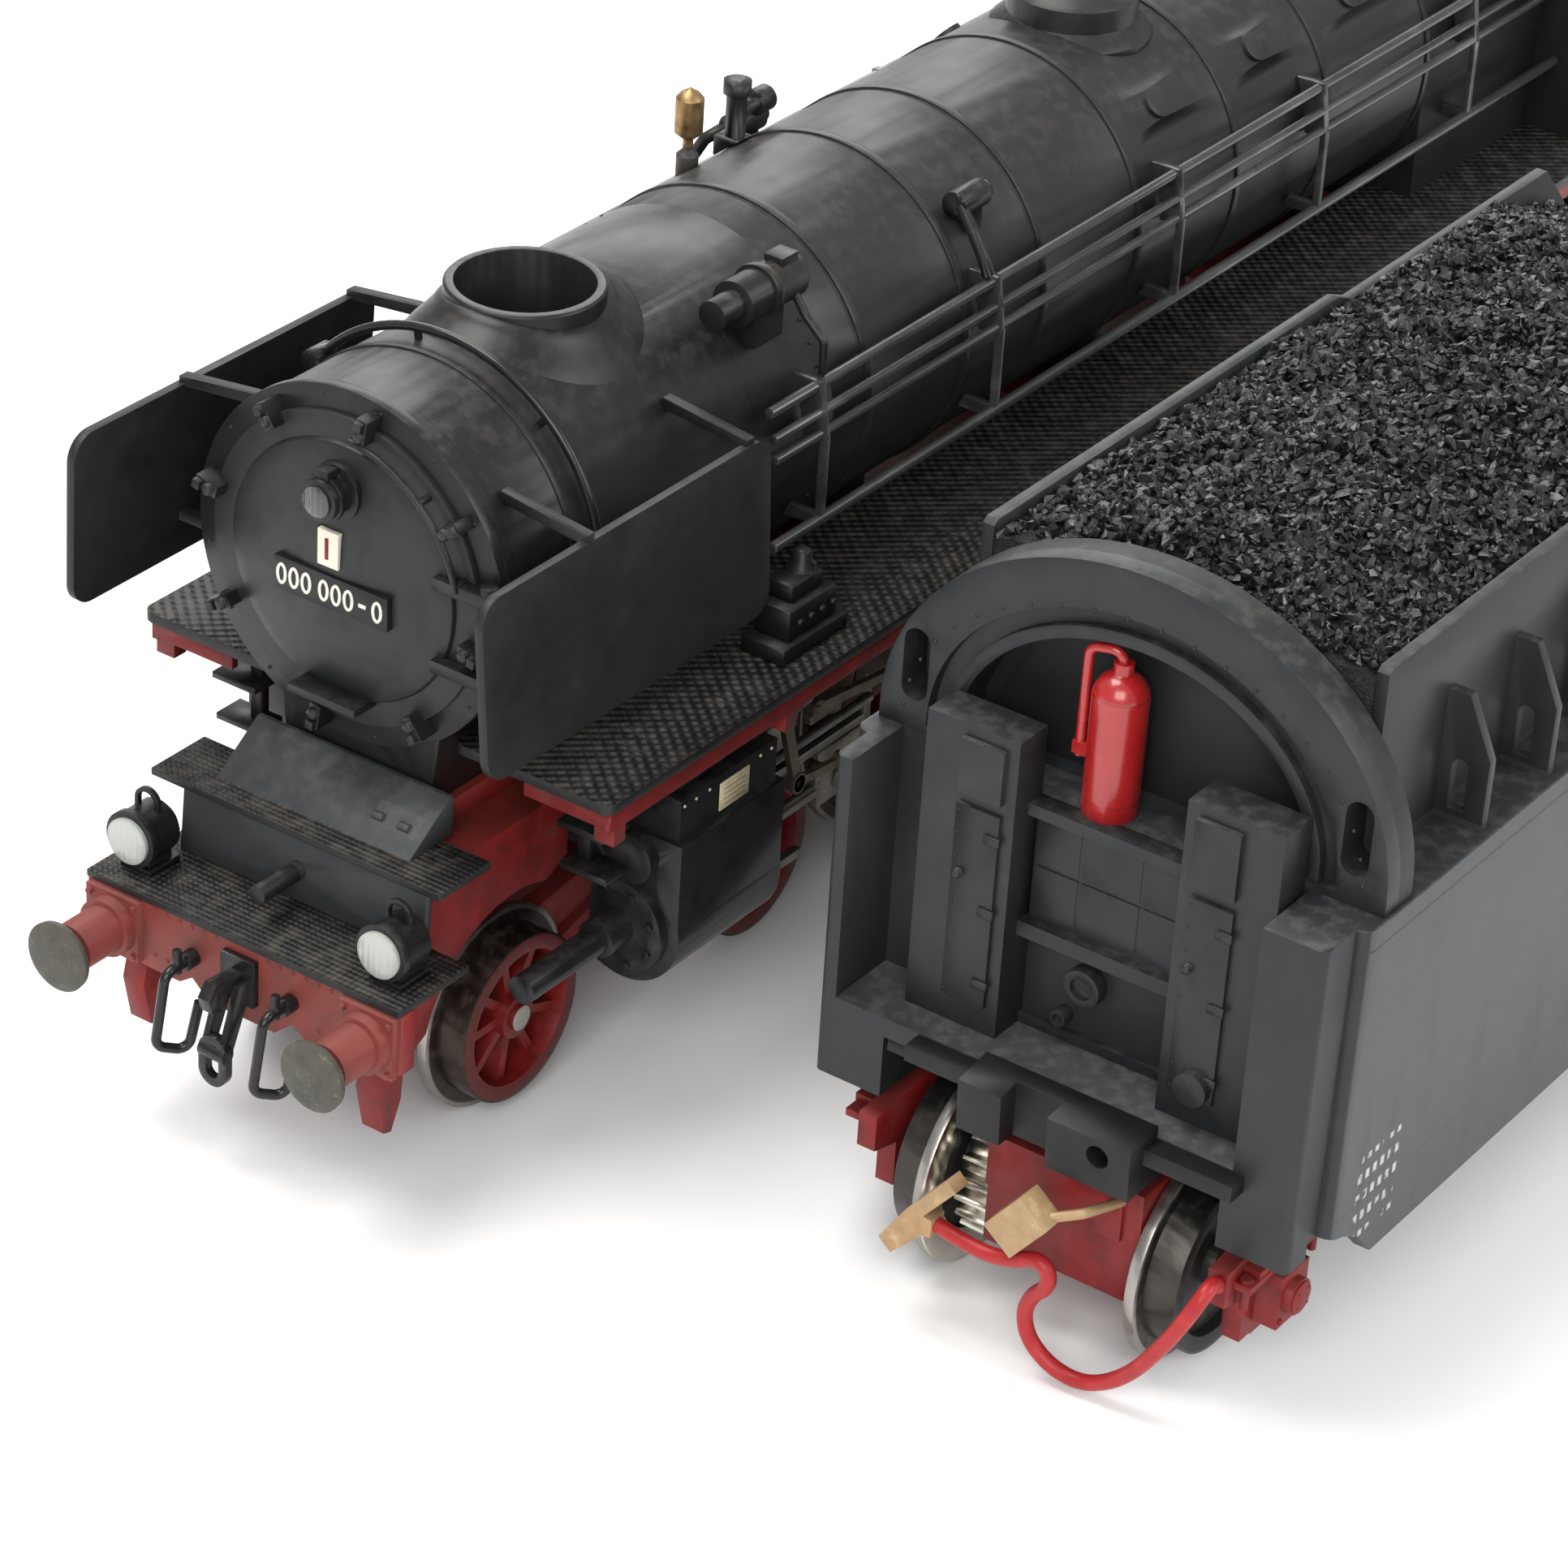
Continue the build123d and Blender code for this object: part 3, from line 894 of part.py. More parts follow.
# ======================================================================================
# TENDER: tank, bunker and front wall
# ======================================================================================
SHEET_IN = TENDER_HALF - 0.9
SHEET_FRONT = 67.6
SKIRT_Z = 8.4
with BuildPart() as tender_body:
    with BuildSketch(Plane.XY.offset(TANK_Z0)) as tank_plan:
        with Locations(((TENDER_FRONT + TENDER_BACK) / 2, TY)):
            Rectangle(TENDER_FRONT - TENDER_BACK, 2 * SHEET_IN)
        fillet(tank_plan.vertices().group_by(Axis.X)[0], radius=3.8)
        fillet(tank_plan.vertices().group_by(Axis.X)[-1], radius=0.5)
    extrude(amount=TANK_Z1 - TANK_Z0)
    for s in (-1, 1):
        y0, y1 = sorted((TY + s * (SHEET_IN - 0.2), TY + s * TENDER_HALF))
        with BuildSketch(Plane.XY.offset(SKIRT_Z)) as sheet_plan:
            with Locations(((SHEET_FRONT - 19.0) / 2, (y0 + y1) / 2)):
                Rectangle(SHEET_FRONT + 19.0, y1 - y0)
            fillet(sheet_plan.vertices().group_by(Axis.X)[-1].sort_by(Axis.Y)[0 if s < 0 else -1],
                   radius=0.9)
        extrude(amount=TANK_Z1 - SKIRT_Z)
        side_plate(((SHEET_FRONT + 1, SKIRT_Z - 1), (SHEET_FRONT + 1, TANK_Z0 + 1.4),
                    (SHEET_FRONT - 1.6, TANK_Z0 + 0.6), (SHEET_FRONT - 3.6, TANK_Z0 - 0.5),
                    (SHEET_FRONT - 5.4, SKIRT_Z), (SHEET_FRONT - 5.4, SKIRT_Z - 1)),
                   y0 - 1, y1 + 1, mode=Mode.SUBTRACT)
        side_plate(((-20, SKIRT_Z - 1), (-20, TANK_Z0), (-16, SKIRT_Z), (-16, SKIRT_Z - 1)),
                   y0 - 1, y1 + 1, mode=Mode.SUBTRACT)
    # crew alcove in the front, and the opening over the leading bogie
    block(ARCH_X1, TENDER_FRONT + 1, TY - 15.4, TY + 12.4, 16.5, TANK_Z1 + 1,
          mode=Mode.SUBTRACT)
    block(ARCH_X1, TENDER_FRONT + 1, TY - 11.8, TY + 11.8, TANK_Z0 - 1, 15.2,
          mode=Mode.SUBTRACT)
    block(TENDER_BACK + 1.5, ARCH_X1 + 0.1, TY - 16.0, TY + 16.0, TANK_Z0 - 1, FLOOR_Z,
          mode=Mode.SUBTRACT)
    block(ARCH_X0, ARCH_X1 + 0.1, TY - 12.0, TY + 12.0, 32.2, TANK_Z1 + 1, mode=Mode.SUBTRACT)
    for x in (FRONT_BOGIE_X, REAR_BOGIE_X):
        rod_z(x, TY, FLOOR_Z - 0.6, FLOOR_Z + 0.1, 3.0)
        rod_z(x, TY, FLOOR_Z - 1, 17.5, 1.48, mode=Mode.SUBTRACT)
    # bunker walls
    for s in (-1, 1):
        y0, y1 = sorted((TY + s * BUNKER_HALF, TY + s * (BUNKER_HALF + 0.8)))
        side_plate(((BUNKER_BACK, TANK_Z1 - 0.1), (ARCH_X0 - 1.0, TANK_Z1 - 0.1),
                    (ARCH_X0 - 1.0, BUNKER_TOP - 0.3), (ARCH_X0 - 1.4, BUNKER_TOP),
                    (BUNKER_BACK + 32, BUNKER_TOP), (BUNKER_BACK + 30, BUNKER_TOP - 0.8),
                    (BUNKER_BACK + 4, BUNKER_TOP - 0.8), (BUNKER_BACK, 41.0)), y0, y1)
        # brackets with arched cut-outs that stiffen the walls from outside
        for n in range(8):
            x = 53.0 - 8.0 * n
            root = TY + s * (BUNKER_HALF + 0.7)
            front_plate(((root, TANK_Z1 - 0.1), (root + s * 3.3, TANK_Z1 - 0.1),
                         (root + s * 3.3, 37.6), (root + s * 1.5, 41.4), (root, 41.4)),
                        x, x + 0.7)
            with Locations((x + 0.35, root + s * 1.45, 35.2)):
                Box(2, 1.1, 2.8, mode=Mode.SUBTRACT)
            rod_x(x - 0.5, x + 1.5, root + s * 1.45, 36.6, 0.55, mode=Mode.SUBTRACT)
    block(BUNKER_BACK, BUNKER_BACK + 0.9, TY - BUNKER_HALF, TY + BUNKER_HALF,
          TANK_Z1 - 0.1, 41.0)
    # raised rims along the tank edges and the water fillers behind the bunker
    for y in (TY - 8.0, TY + 8.0):
        block(-21.0, -13.0, y - 4.0, y + 4.0, TANK_Z1 - 0.1, TANK_Z1 + 1.2)
        block(-20.4, -13.6, y - 3.4, y + 3.4, TANK_Z1 + 1.1, TANK_Z1 + 1.8)
        rod_y(-21.0, y - 2.5, y + 2.5, TANK_Z1 + 1.0, 0.45)
    for s in (-1, 1):
        for z in range(5):
            a, b = sorted((TY + s * 10.6, TY + s * 14.0))
            block(TENDER_BACK - 0.9, TENDER_BACK + 0.1, a, b, 15.0 + 3.8 * z, 15.4 + 3.8 * z)
keep(tender_body, "tender_body")


def arch(half, rise, base):
    """Outline of the arched front wall: half an ellipse on short upright legs."""
    points = [(TY - half, base), (TY + half, base)]
    for n in range(37):
        a = math.pi * n / 36
        points.append((TY + half * math.cos(a), ARCH_Z + rise * math.sin(a)))
    return points


with BuildPart() as tender_bulkhead:
    front_plate(arch(17.2, 14.6, TANK_Z1), ARCH_X0, ARCH_X1)
    front_plate(arch(13.9, 11.6, TANK_Z1 + 0.5), ARCH_X1 - 0.9, ARCH_X1 + 1, mode=Mode.SUBTRACT)
    front_plate(arch(12.7, 10.4, TANK_Z1), ARCH_X1 - 1.0, ARCH_X1 - 0.2)
    front_plate(arch(11.9, 9.6, TANK_Z1 - 1), ARCH_X0, ARCH_X1 + 1, mode=Mode.SUBTRACT)
    front_plate(arch(16.2, 13.6, TANK_Z1), ARCH_X0 - 1.0, ARCH_X0)
    # long slots at both ends of the arch
    with BuildSketch(FRONT_VIEW.offset(ARCH_X0 + 0.4)) as slots:
        for s in (-1, 1):
            with Locations((TY + s * 14.9, 37.3)):
                SlotOverall(4.8, 1.8, rotation=90)
    extrude(amount=5, mode=Mode.SUBTRACT)
    # ledge below the niche, planked doors, shelf
    block(ARCH_X0, ARCH_X1 + 1.4, TY - 5.6, TY + 5.4, 31.4, 32.2)
    block(ARCH_X1, ARCH_X1 + 0.6, TY - 5.4, TY + 5.2, 24.2, 31.4)
    for y in (TY - 2.2, TY + 2.0):
        block(ARCH_X1 + 0.55, ARCH_X1 + 1, y - 0.12, y + 0.12, 24.6, 31.2, mode=Mode.SUBTRACT)
    block(ARCH_X1 + 0.5, ARCH_X1 + 1, TY - 5.2, TY + 5.0, 27.7, 27.95, mode=Mode.SUBTRACT)
    block(ARCH_X1, ARCH_X1 + 1.5, TY - 5.6, TY + 5.4, 23.2, 24.2)
    # tall lockers on both sides of the doors
    for s, top in ((-1, 36.8), (1, 37.6)):
        y0, y1 = sorted((TY + s * 5.6, TY + s * 12.0))
        block(ARCH_X1, ARCH_X1 + 2.9, y0, y1, 16.5, top)
        y0, y1 = sorted((TY + s * 6.4, TY + s * 9.4))
        block(ARCH_X1 + 2.8, ARCH_X1 + 3.2, y0, y1, 18.4, 31.6)
        block(ARCH_X1 + 2.8, ARCH_X1 + 3.3, y0, y1, 32.4, top - 0.8)
    # round valve ports under the shelf
    for y, z, r in ((TY - 1.2, 20.9, 1.25), (TY - 2.6, 18.2, 0.55)):
        rod_x(ARCH_X1, ARCH_X1 + 1.0, y, z, r)
        rod_x(ARCH_X1 + 0.6, ARCH_X1 + 1.1, y, z, r * 0.6, mode=Mode.SUBTRACT)
    rod_x(ARCH_X1 + 2.8, ARCH_X1 + 3.9, TY + 8.2, 19.4, 1.1)
    block(ARCH_X1 - 0.1, ARCH_X1 + 0.4, TY - 5.6, TY + 5.6, 16.5, 17.2)
    add(tender_body.part, mode=Mode.SUBTRACT)
keep(tender_bulkhead, "tender_bulkhead")

with BuildPart() as coal_load:
    front_plate(((TY - BUNKER_HALF, TANK_Z1), (TY + BUNKER_HALF, TANK_Z1),
                 (TY + BUNKER_HALF, 44.9), (TY + 9.0, 46.2), (TY + 3.5, 47.0), (TY - 3.5, 47.0),
                 (TY - 9.0, 46.2), (TY - BUNKER_HALF, 44.9)), BUNKER_BACK + 0.9, ARCH_X0 - 1.0)
    side_plate(((ARCH_X0 - 0.9, 45.2), (ARCH_X0 - 8, 48), (ARCH_X0 - 0.9, 48)),
               TY - 20, TY + 20, mode=Mode.SUBTRACT)
    side_plate(((BUNKER_BACK, 40.6), (BUNKER_BACK + 20, 48), (BUNKER_BACK, 48)),
               TY - 20, TY + 20, mode=Mode.SUBTRACT)
    side_plate(((BUNKER_BACK - 1, 40.6), (BUNKER_BACK + 2, 40.6), (BUNKER_BACK + 2, 48),
                (BUNKER_BACK - 1, 48)), TY - 20, TY + 20, mode=Mode.SUBTRACT)
keep(coal_load, "coal_load")

EXT_X, EXT_Y, EXT_Z = 64.5, 46.4, 32.2
with BuildPart() as fire_extinguisher:
    rod_z(EXT_X, EXT_Y, EXT_Z, EXT_Z + 7.6, 1.72)
    with Locations((EXT_X, EXT_Y, EXT_Z + 7.6)):
        Sphere(1.72)
    rod_z(EXT_X, EXT_Y, EXT_Z + 9.0, EXT_Z + 9.9, 0.6)
    with BuildLine():
        loop = FilletPolyline((EXT_X, EXT_Y, EXT_Z + 9.5), (EXT_X + 0.2, EXT_Y, EXT_Z + 10.7),
                              (EXT_X + 0.5, EXT_Y - 2.05, EXT_Z + 10.4),
                              (EXT_X + 0.5, EXT_Y - 2.1, EXT_Z + 3.2), radius=0.7)
    with BuildSketch(Plane(origin=loop @ 0, z_dir=loop % 0)):
        Circle(0.3)
    sweep(path=loop)
    block(EXT_X + 0.1, EXT_X + 0.9, EXT_Y - 2.4, EXT_Y - 1.2, EXT_Z + 3.4, EXT_Z + 4.2)
keep(fire_extinguisher, "fire_extinguisher")

with BuildPart() as coupling_block:
    block(TENDER_FRONT, TENDER_FRONT + 1.4, TY - 9.4, TY + 13.2, 15.3, 16.4)
    block(ARCH_X1, TENDER_FRONT, TY - 11.5, TY + 11.5, 14.4, 15.2)
    side_plate(((TENDER_FRONT - 1.5, 13.4), (TENDER_FRONT + 2.8, 13.4),
                (TENDER_FRONT + 3.0, 16.9), (TENDER_FRONT, 17.3), (TENDER_FRONT, 14.6),
                (TENDER_FRONT - 1.5, 14.6)), TY - 4.6, TY + 7.3)
    block(TENDER_FRONT + 1.3, TENDER_FRONT + 4, TY - 1.6, TY + 1.6, 12.8, 18,
          mode=Mode.SUBTRACT)
    rod_x(TENDER_FRONT + 1.5, TENDER_FRONT + 4, TY + 5.1, 15.7, 0.75, mode=Mode.SUBTRACT)
    add(tender_body.part, mode=Mode.SUBTRACT)
keep(coupling_block, "coupling_block")


# ======================================================================================
# TENDER: bogies, wheels and drive
# ======================================================================================
def bogie_sides(x1, x2):
    """Outside frames of a tender bogie, with axle boxes, springs and brackets."""
    mid = (x1 + x2) / 2
    for s in (-1, 1):
        y0, y1 = sorted((TY + s * 11.7, TY + s * 13.0))
        side_plate(((x1 + 5.4, 9.4), (x1 + 5.4, 7.0), (x1 + 3.0, 6.4), (x1 + 3.0, 3.2),
                    (x1 - 2.6, 3.2), (x1 - 3.4, 6.0), (mid, 7.2), (x2 + 3.4, 6.0),
                    (x2 + 2.6, 3.2), (x2 - 3.0, 3.2), (x2 - 3.0, 6.4), (x2 - 5.4, 7.0),
                    (x2 - 5.4, 9.4), (mid, 10.6)), y0, y1)
        y0, y1 = sorted((TY + s * 12.9, TY + s * 14.6))
        for x in (x1, x2):
            block(x - 1.6, x + 1.6, y0, y1, 4.0, 7.6)
            rod_y(x, TY + s * 12.9, TY + s * 15.1, 5.8, 1.2)
            for lift, half in ((7.9, 4.4), (8.5, 3.4), (9.1, 2.4)):
                block(x - half, x + half, y0, y1 - 0.5, lift, lift + 0.5)
            block(x - 0.6, x + 0.6, y0, y1 - 0.2, 7.5, 9.9)
        y0, y1 = sorted((TY + s * 11.7, TY + s * 12.6))
        block(x1 - 0.9, x1 + 0.9, y0, y1, 2.4, 3.4)
        block(x2 - 0.9, x2 + 0.9, y0, y1, 2.4, 3.4)


with BuildPart() as front_bogie:
    bogie_sides(TENDER_AXLES[0], TENDER_AXLES[1])
    block(39.4, 71.0, BLOCK_Y0, BLOCK_Y1, 4.4, 12.2)
    block(70.9, 71.3, BLOCK_Y0, BLOCK_Y1 - 1.2, 8.6, 12.2)
    block(50.9, 55.1, TY - 12.9, TY + 12.9, 10.2, 12.2)
    for s in (-1, 1):
        y0, y1 = sorted((TY + s * 11.7, TY + s * 12.9))
        block(50.9, 55.1, y0, y1, 8.4, 12.2)
    rod_z(FRONT_BOGIE_X, TY, 12.1, 12.9, 2.6)
    rod_z(FRONT_BOGIE_X, TY, 12.1, 16.6, 1.4)
    for x in TENDER_AXLES[:2]:
        rod_y(x, TY - 8, TY + 8, TENDER_R, AXLE_HOLE_R, mode=Mode.SUBTRACT)
    rod_y(IDLER_X, 43, 48.2, IDLER_Z, 0.78, mode=Mode.SUBTRACT)
    PINION_X = IDLER_X - math.sqrt(5.2 ** 2 - 1.0)
    PINION_Z = IDLER_Z - 1.0
    rod_y(PINION_X, 43, 54.2, PINION_Z, 0.78, mode=Mode.SUBTRACT)
    side_plate(((38, 3), (46, 3), (40.4, 6.2), (38, 8)), 44, 56, mode=Mode.SUBTRACT)
keep(front_bogie, "front_bogie")

with BuildPart() as rear_bogie:
    bogie_sides(TENDER_AXLES[2], TENDER_AXLES[3])
    block(REAR_BOGIE_X - 2.6, REAR_BOGIE_X + 2.6, TY - 12.9, TY + 12.9, 8.4, 12.2)
    for s in (-1, 1):
        y0, y1 = sorted((TY + s * 4.6, TY + s * 5.8))
        block(-4.0, 26.2, y0, y1, 3.8, 8.6)
    rod_z(REAR_BOGIE_X, TY, 12.1, 12.9, 2.6)
    rod_z(REAR_BOGIE_X, TY, 12.1, 16.6, 1.4)
    for x in TENDER_AXLES[2:]:
        rod_y(x, TY - 8, TY + 8, TENDER_R, AXLE_HOLE_R, mode=Mode.SUBTRACT)
keep(rear_bogie, "rear_bogie")


def disc_wheel(x, s):
    face = Plane(origin=(x, TY + s * WHEEL_INNER, TENDER_R), x_dir=(1, 0, 0), z_dir=(0, s, 0))
    with BuildSketch(face) as ring1:
        Circle(TENDER_R + FLANGE)
    extrude(ring1.sketch, amount=FLANGE_WIDTH)
    with BuildSketch(face) as ring2:
        Circle(TENDER_R)
    extrude(ring2.sketch, amount=WHEEL_WIDTH)
    with BuildSketch(face.offset(WHEEL_WIDTH)) as ring3:
        Circle(TENDER_R - 1.1)
        Circle(1.6, mode=Mode.SUBTRACT)
    extrude(ring3.sketch, amount=-0.7, mode=Mode.SUBTRACT)
    with BuildSketch(face) as ring4:
        Circle(TENDER_R - 1.1)
        Circle(1.6, mode=Mode.SUBTRACT)
    extrude(ring4.sketch, amount=0.6, mode=Mode.SUBTRACT)


def gear(x, z, teeth, first_tooth, y0, y1):
    """Spur gear on an axis along Y; first_tooth is the angle of one tooth in side view."""
    pitch_r = MODULE * teeth / 2
    step = 2 * math.pi / teeth
    points = []
    for n in range(teeth):
        middle = math.radians(first_tooth) + n * step
        for part, r in ((-0.31, pitch_r - 0.46), (-0.19, pitch_r), (-0.08, pitch_r + 0.36),
                        (0.08, pitch_r + 0.36), (0.19, pitch_r), (0.31, pitch_r - 0.46)):
            a = middle + part * step
            points.append((x + r * math.cos(a), z + r * math.sin(a)))
    side_plate(points, y0, y1)


ALPHA = math.degrees(math.atan2(IDLER_Z - TENDER_R, IDLER_X - TENDER_AXLES[0]))
BETA = math.degrees(math.atan2(PINION_Z - IDLER_Z, PINION_X - IDLER_X))
IDLER_STEP = 360 / IDLER_TEETH
IDLER_FIRST = ALPHA + 180 + IDLER_STEP / 2
OFFSET = ((BETA - IDLER_FIRST) / IDLER_STEP) % 1.0
PINION_STEP = 360 / PINION_TEETH
PINION_FIRST = BETA + 180 + (OFFSET + 0.5) * PINION_STEP

for number, x in enumerate(TENDER_AXLES, start=1):
    with BuildPart() as tender_wheelset:
        for s in (-1, 1):
            disc_wheel(x, s)
            rod_y(x, TY + s * WHEEL_INNER, TY + s * (WHEEL_OUTER + 0.4), TENDER_R, 0.7)
        rod_y(x, TY - WHEEL_INNER + JOINT_GAP, TY + WHEEL_INNER - JOINT_GAP, TENDER_R, AXLE_R)
        if number == 1:
            gear(x, TENDER_R, AXLE_TEETH, ALPHA, 41.5, 43.9)
            rod_y(x, 40.8, 41.6, TENDER_R, 2.2)
    keep(tender_wheelset, f"tender_wheelset_{number}")

with BuildPart() as idler_gear:
    gear(IDLER_X, IDLER_Z, IDLER_TEETH, IDLER_FIRST, 41.7, 43.9)
    rod_y(IDLER_X, 41.3, 47.6, IDLER_Z, 0.7)
keep(idler_gear, "idler_gear")

with BuildPart() as motor_armature:
    gear(PINION_X, PINION_Z, PINION_TEETH, PINION_FIRST, 41.7, 43.9)
    rod_y(PINION_X, 41.3, 53.6, PINION_Z, 0.7)
keep(motor_armature, "motor_armature")

# --- the loose motor wire and its two plugs -------------------------------------------
PLUG_X = 74.4
with BuildPart() as wire_plugs:
    # blade plug at the left-hand end of the wire
    front_plate(((39.6, 4.6), (40.5, 3.8), (42.6, 6.0), (43.2, 6.1), (43.2, 7.3),
                 (42.6, 7.4), (44.7, 10.0), (44.0, 10.6), (41.4, 7.4)),
                PLUG_X - 0.7, PLUG_X + 0.7)
with BuildPart() as socket_plug:
    with Locations(Location((PLUG_X + 0.3, 49.2, 9.9), (-38, 0, 0))):
        Box(1.9, 2.5, 3.7)
        with Locations((0, 0, -1.2)):
            Box(0.9, 1.2, 2.2, mode=Mode.SUBTRACT)
with BuildPart() as plug_pair:
    add(wire_plugs.part)
    add(socket_plug.part)
    with BuildLine():
        lead = FilletPolyline((PLUG_X, 50.6, 10.6), (73.6, 52.6, 11.4), (71.0, 53.6, 11.3),
                              radius=0.9)
    with BuildSketch(Plane(origin=lead @ 0, z_dir=lead % 0)):
        Circle(0.32)
    sweep(path=lead)
    add(front_bogie.part, mode=Mode.SUBTRACT)
keep(plug_pair, "wire_plugs")

WIRE_POINTS = (
    (PLUG_X, 43.2, 6.7), (PLUG_X, 51.4, 6.6), (74.2, 49.2, 0.7), (73.9, 54.8, -0.5),
    (74.2, 61.3, 11.4), (71.0, 60.4, 8.4),
)


def corner_radii(points):
    """Radius at each inner corner so that neighbouring arcs stay clear of one another."""
    radii = []
    for before, here, after in zip(points, points[1:], points[2:]):
        a = Vector(*here) - Vector(*before)
        b = Vector(*after) - Vector(*here)
        turn = math.radians(a.get_angle(b))
        radii.append(0.45 * min(a.length, b.length) / math.tan(turn / 2))
    return radii


WIRE_RADII = corner_radii(WIRE_POINTS)
print("wire corner radii", [round(r, 2) for r in WIRE_RADII])
with BuildPart() as motor_wire:
    with BuildLine():
        route = FilletPolyline(*WIRE_POINTS, radius=WIRE_RADII)
    with BuildSketch(Plane(origin=route @ 0, z_dir=route % 0)):
        Circle(WIRE_R)
    sweep(path=route)
wire_length = sum(edge.length for edge in route.edges())
print("wire length", round(wire_length, 2), "volume", round(motor_wire.part.volume, 3),
      "section x length", round(math.pi * WIRE_R ** 2 * wire_length, 3))
with BuildPart() as wire_in_place:
    add(motor_wire.part)
    # the end lies flat against the side frame
    add(front_bogie.part, mode=Mode.SUBTRACT)
keep(wire_in_place, "motor_wire")

with BuildPart() as tender_rear_fittings:
    block(TENDER_BACK - 1.2, TENDER_BACK, TY - 14.6, TY + 14.6, 10.9, 14.9)
    for s in (-1, 1):
        y = TY + s * BUFFER_Y
        block(TENDER_BACK - 1.6, TENDER_BACK - 1.2, y - 1.9, y + 1.9, 11.0, 14.6)
        rod_x(TENDER_BACK - 5.4, TENDER_BACK - 1.6, y, 12.8, 1.6)
        rod_x(TENDER_BACK - 6.6, TENDER_BACK - 5.4, y, 12.8, 0.9)
        rod_x(TENDER_BACK - 7.4, TENDER_BACK - 6.6, y, 12.8, 2.3)
        rod_x(TENDER_BACK - 2.6, TENDER_BACK, TY + s * 10.2, 30.6, 1.3)
    block(TENDER_BACK - 3.4, TENDER_BACK - 1.2, TY - 0.6, TY + 0.6, 11.4, 13.6)
    for s in (-1, 1):
        y0, y1 = sorted((TY + s * 10.4, TY + s * 14.2))
        block(TENDER_BACK - 2.0, TENDER_BACK - 1.2, y0, y1, 6.4, 11.0)
        block(TENDER_BACK - 3.6, TENDER_BACK - 1.2, y0, y1, 6.4, 6.9)
    add(tender_body.part, mode=Mode.SUBTRACT)
keep(tender_rear_fittings, "tender_rear_fittings")
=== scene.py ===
import math
import random

import bmesh
import bpy
from mathutils import Matrix, Vector


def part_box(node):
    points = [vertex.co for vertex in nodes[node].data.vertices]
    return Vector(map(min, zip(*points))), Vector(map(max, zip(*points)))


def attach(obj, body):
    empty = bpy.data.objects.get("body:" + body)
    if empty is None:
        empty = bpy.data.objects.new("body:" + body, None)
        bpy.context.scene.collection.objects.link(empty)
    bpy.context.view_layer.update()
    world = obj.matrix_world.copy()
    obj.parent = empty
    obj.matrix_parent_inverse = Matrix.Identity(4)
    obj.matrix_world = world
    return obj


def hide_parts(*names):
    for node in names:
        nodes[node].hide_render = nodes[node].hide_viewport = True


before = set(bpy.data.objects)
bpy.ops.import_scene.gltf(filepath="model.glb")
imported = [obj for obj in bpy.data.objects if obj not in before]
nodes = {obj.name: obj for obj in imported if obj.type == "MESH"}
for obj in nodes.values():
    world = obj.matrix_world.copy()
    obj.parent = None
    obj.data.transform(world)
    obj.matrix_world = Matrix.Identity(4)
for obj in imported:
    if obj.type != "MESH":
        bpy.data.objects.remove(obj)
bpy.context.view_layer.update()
MM = 0.001


def middle(name):
    """Centre of a node's box at rest, in millimetres."""
    lo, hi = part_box(name)
    return (Vector(lo) + Vector(hi)) / (2 * MM)


# Places and sizes that several pieces and paints share, in millimetres.
SIDES = (-1, 1)                 # right and left of the locomotive, or of the tender
BOILER_Z = 36.6                 # height of the boiler's axis
SMOKEBOX_R = 11.5
CHIMNEY_X = 60.6
PLATE_X = 79.1                  # front face of the number plates
TENDER_Y = 48.0                 # middle plane of the tender, which stands beside the locomotive
BOGIE_AXLES = {"front_bogie": (65.6, 43.8), "rear_bogie": (22.0, 0.2)}
TENDER_AXLE_Z = 5.8
LAMP_Y, LAMP_Z = 9.9, 17.5
BEAM_FACE_X = 86.9              # front face of the buffer beam
BUFFER_Y, HOSE_Y = 10.06, 4.0

# --------------------------------------------------------------------------- camera
cam_data = bpy.data.cameras.new("camera")
cam_data.sensor_width = 36.0
cam_data.lens = 121.5
cam_data.clip_start, cam_data.clip_end = 0.01, 10.0
cam = bpy.data.objects.new("camera", cam_data)
bpy.context.scene.collection.objects.link(cam)
cam.matrix_world = Matrix((     # columns: right, up, backwards, place
    (-0.57859, -0.39422, 0.71403, 0.2933),
    (0.81376, -0.33831, 0.47261, 0.1752),
    (0.05526, 0.85449, 0.51653, 0.1905),
    (0, 0, 0, 1)))
bpy.context.scene.camera = cam
bpy.context.scene.view_settings.view_transform = "Standard"


# --------------------------------------------------------------------------- materials
COLOR_MIX, FLOAT_MIX = ("RGBA", 6, 7, 2), ("FLOAT", 2, 3, 0)    # type, sockets A and B, output


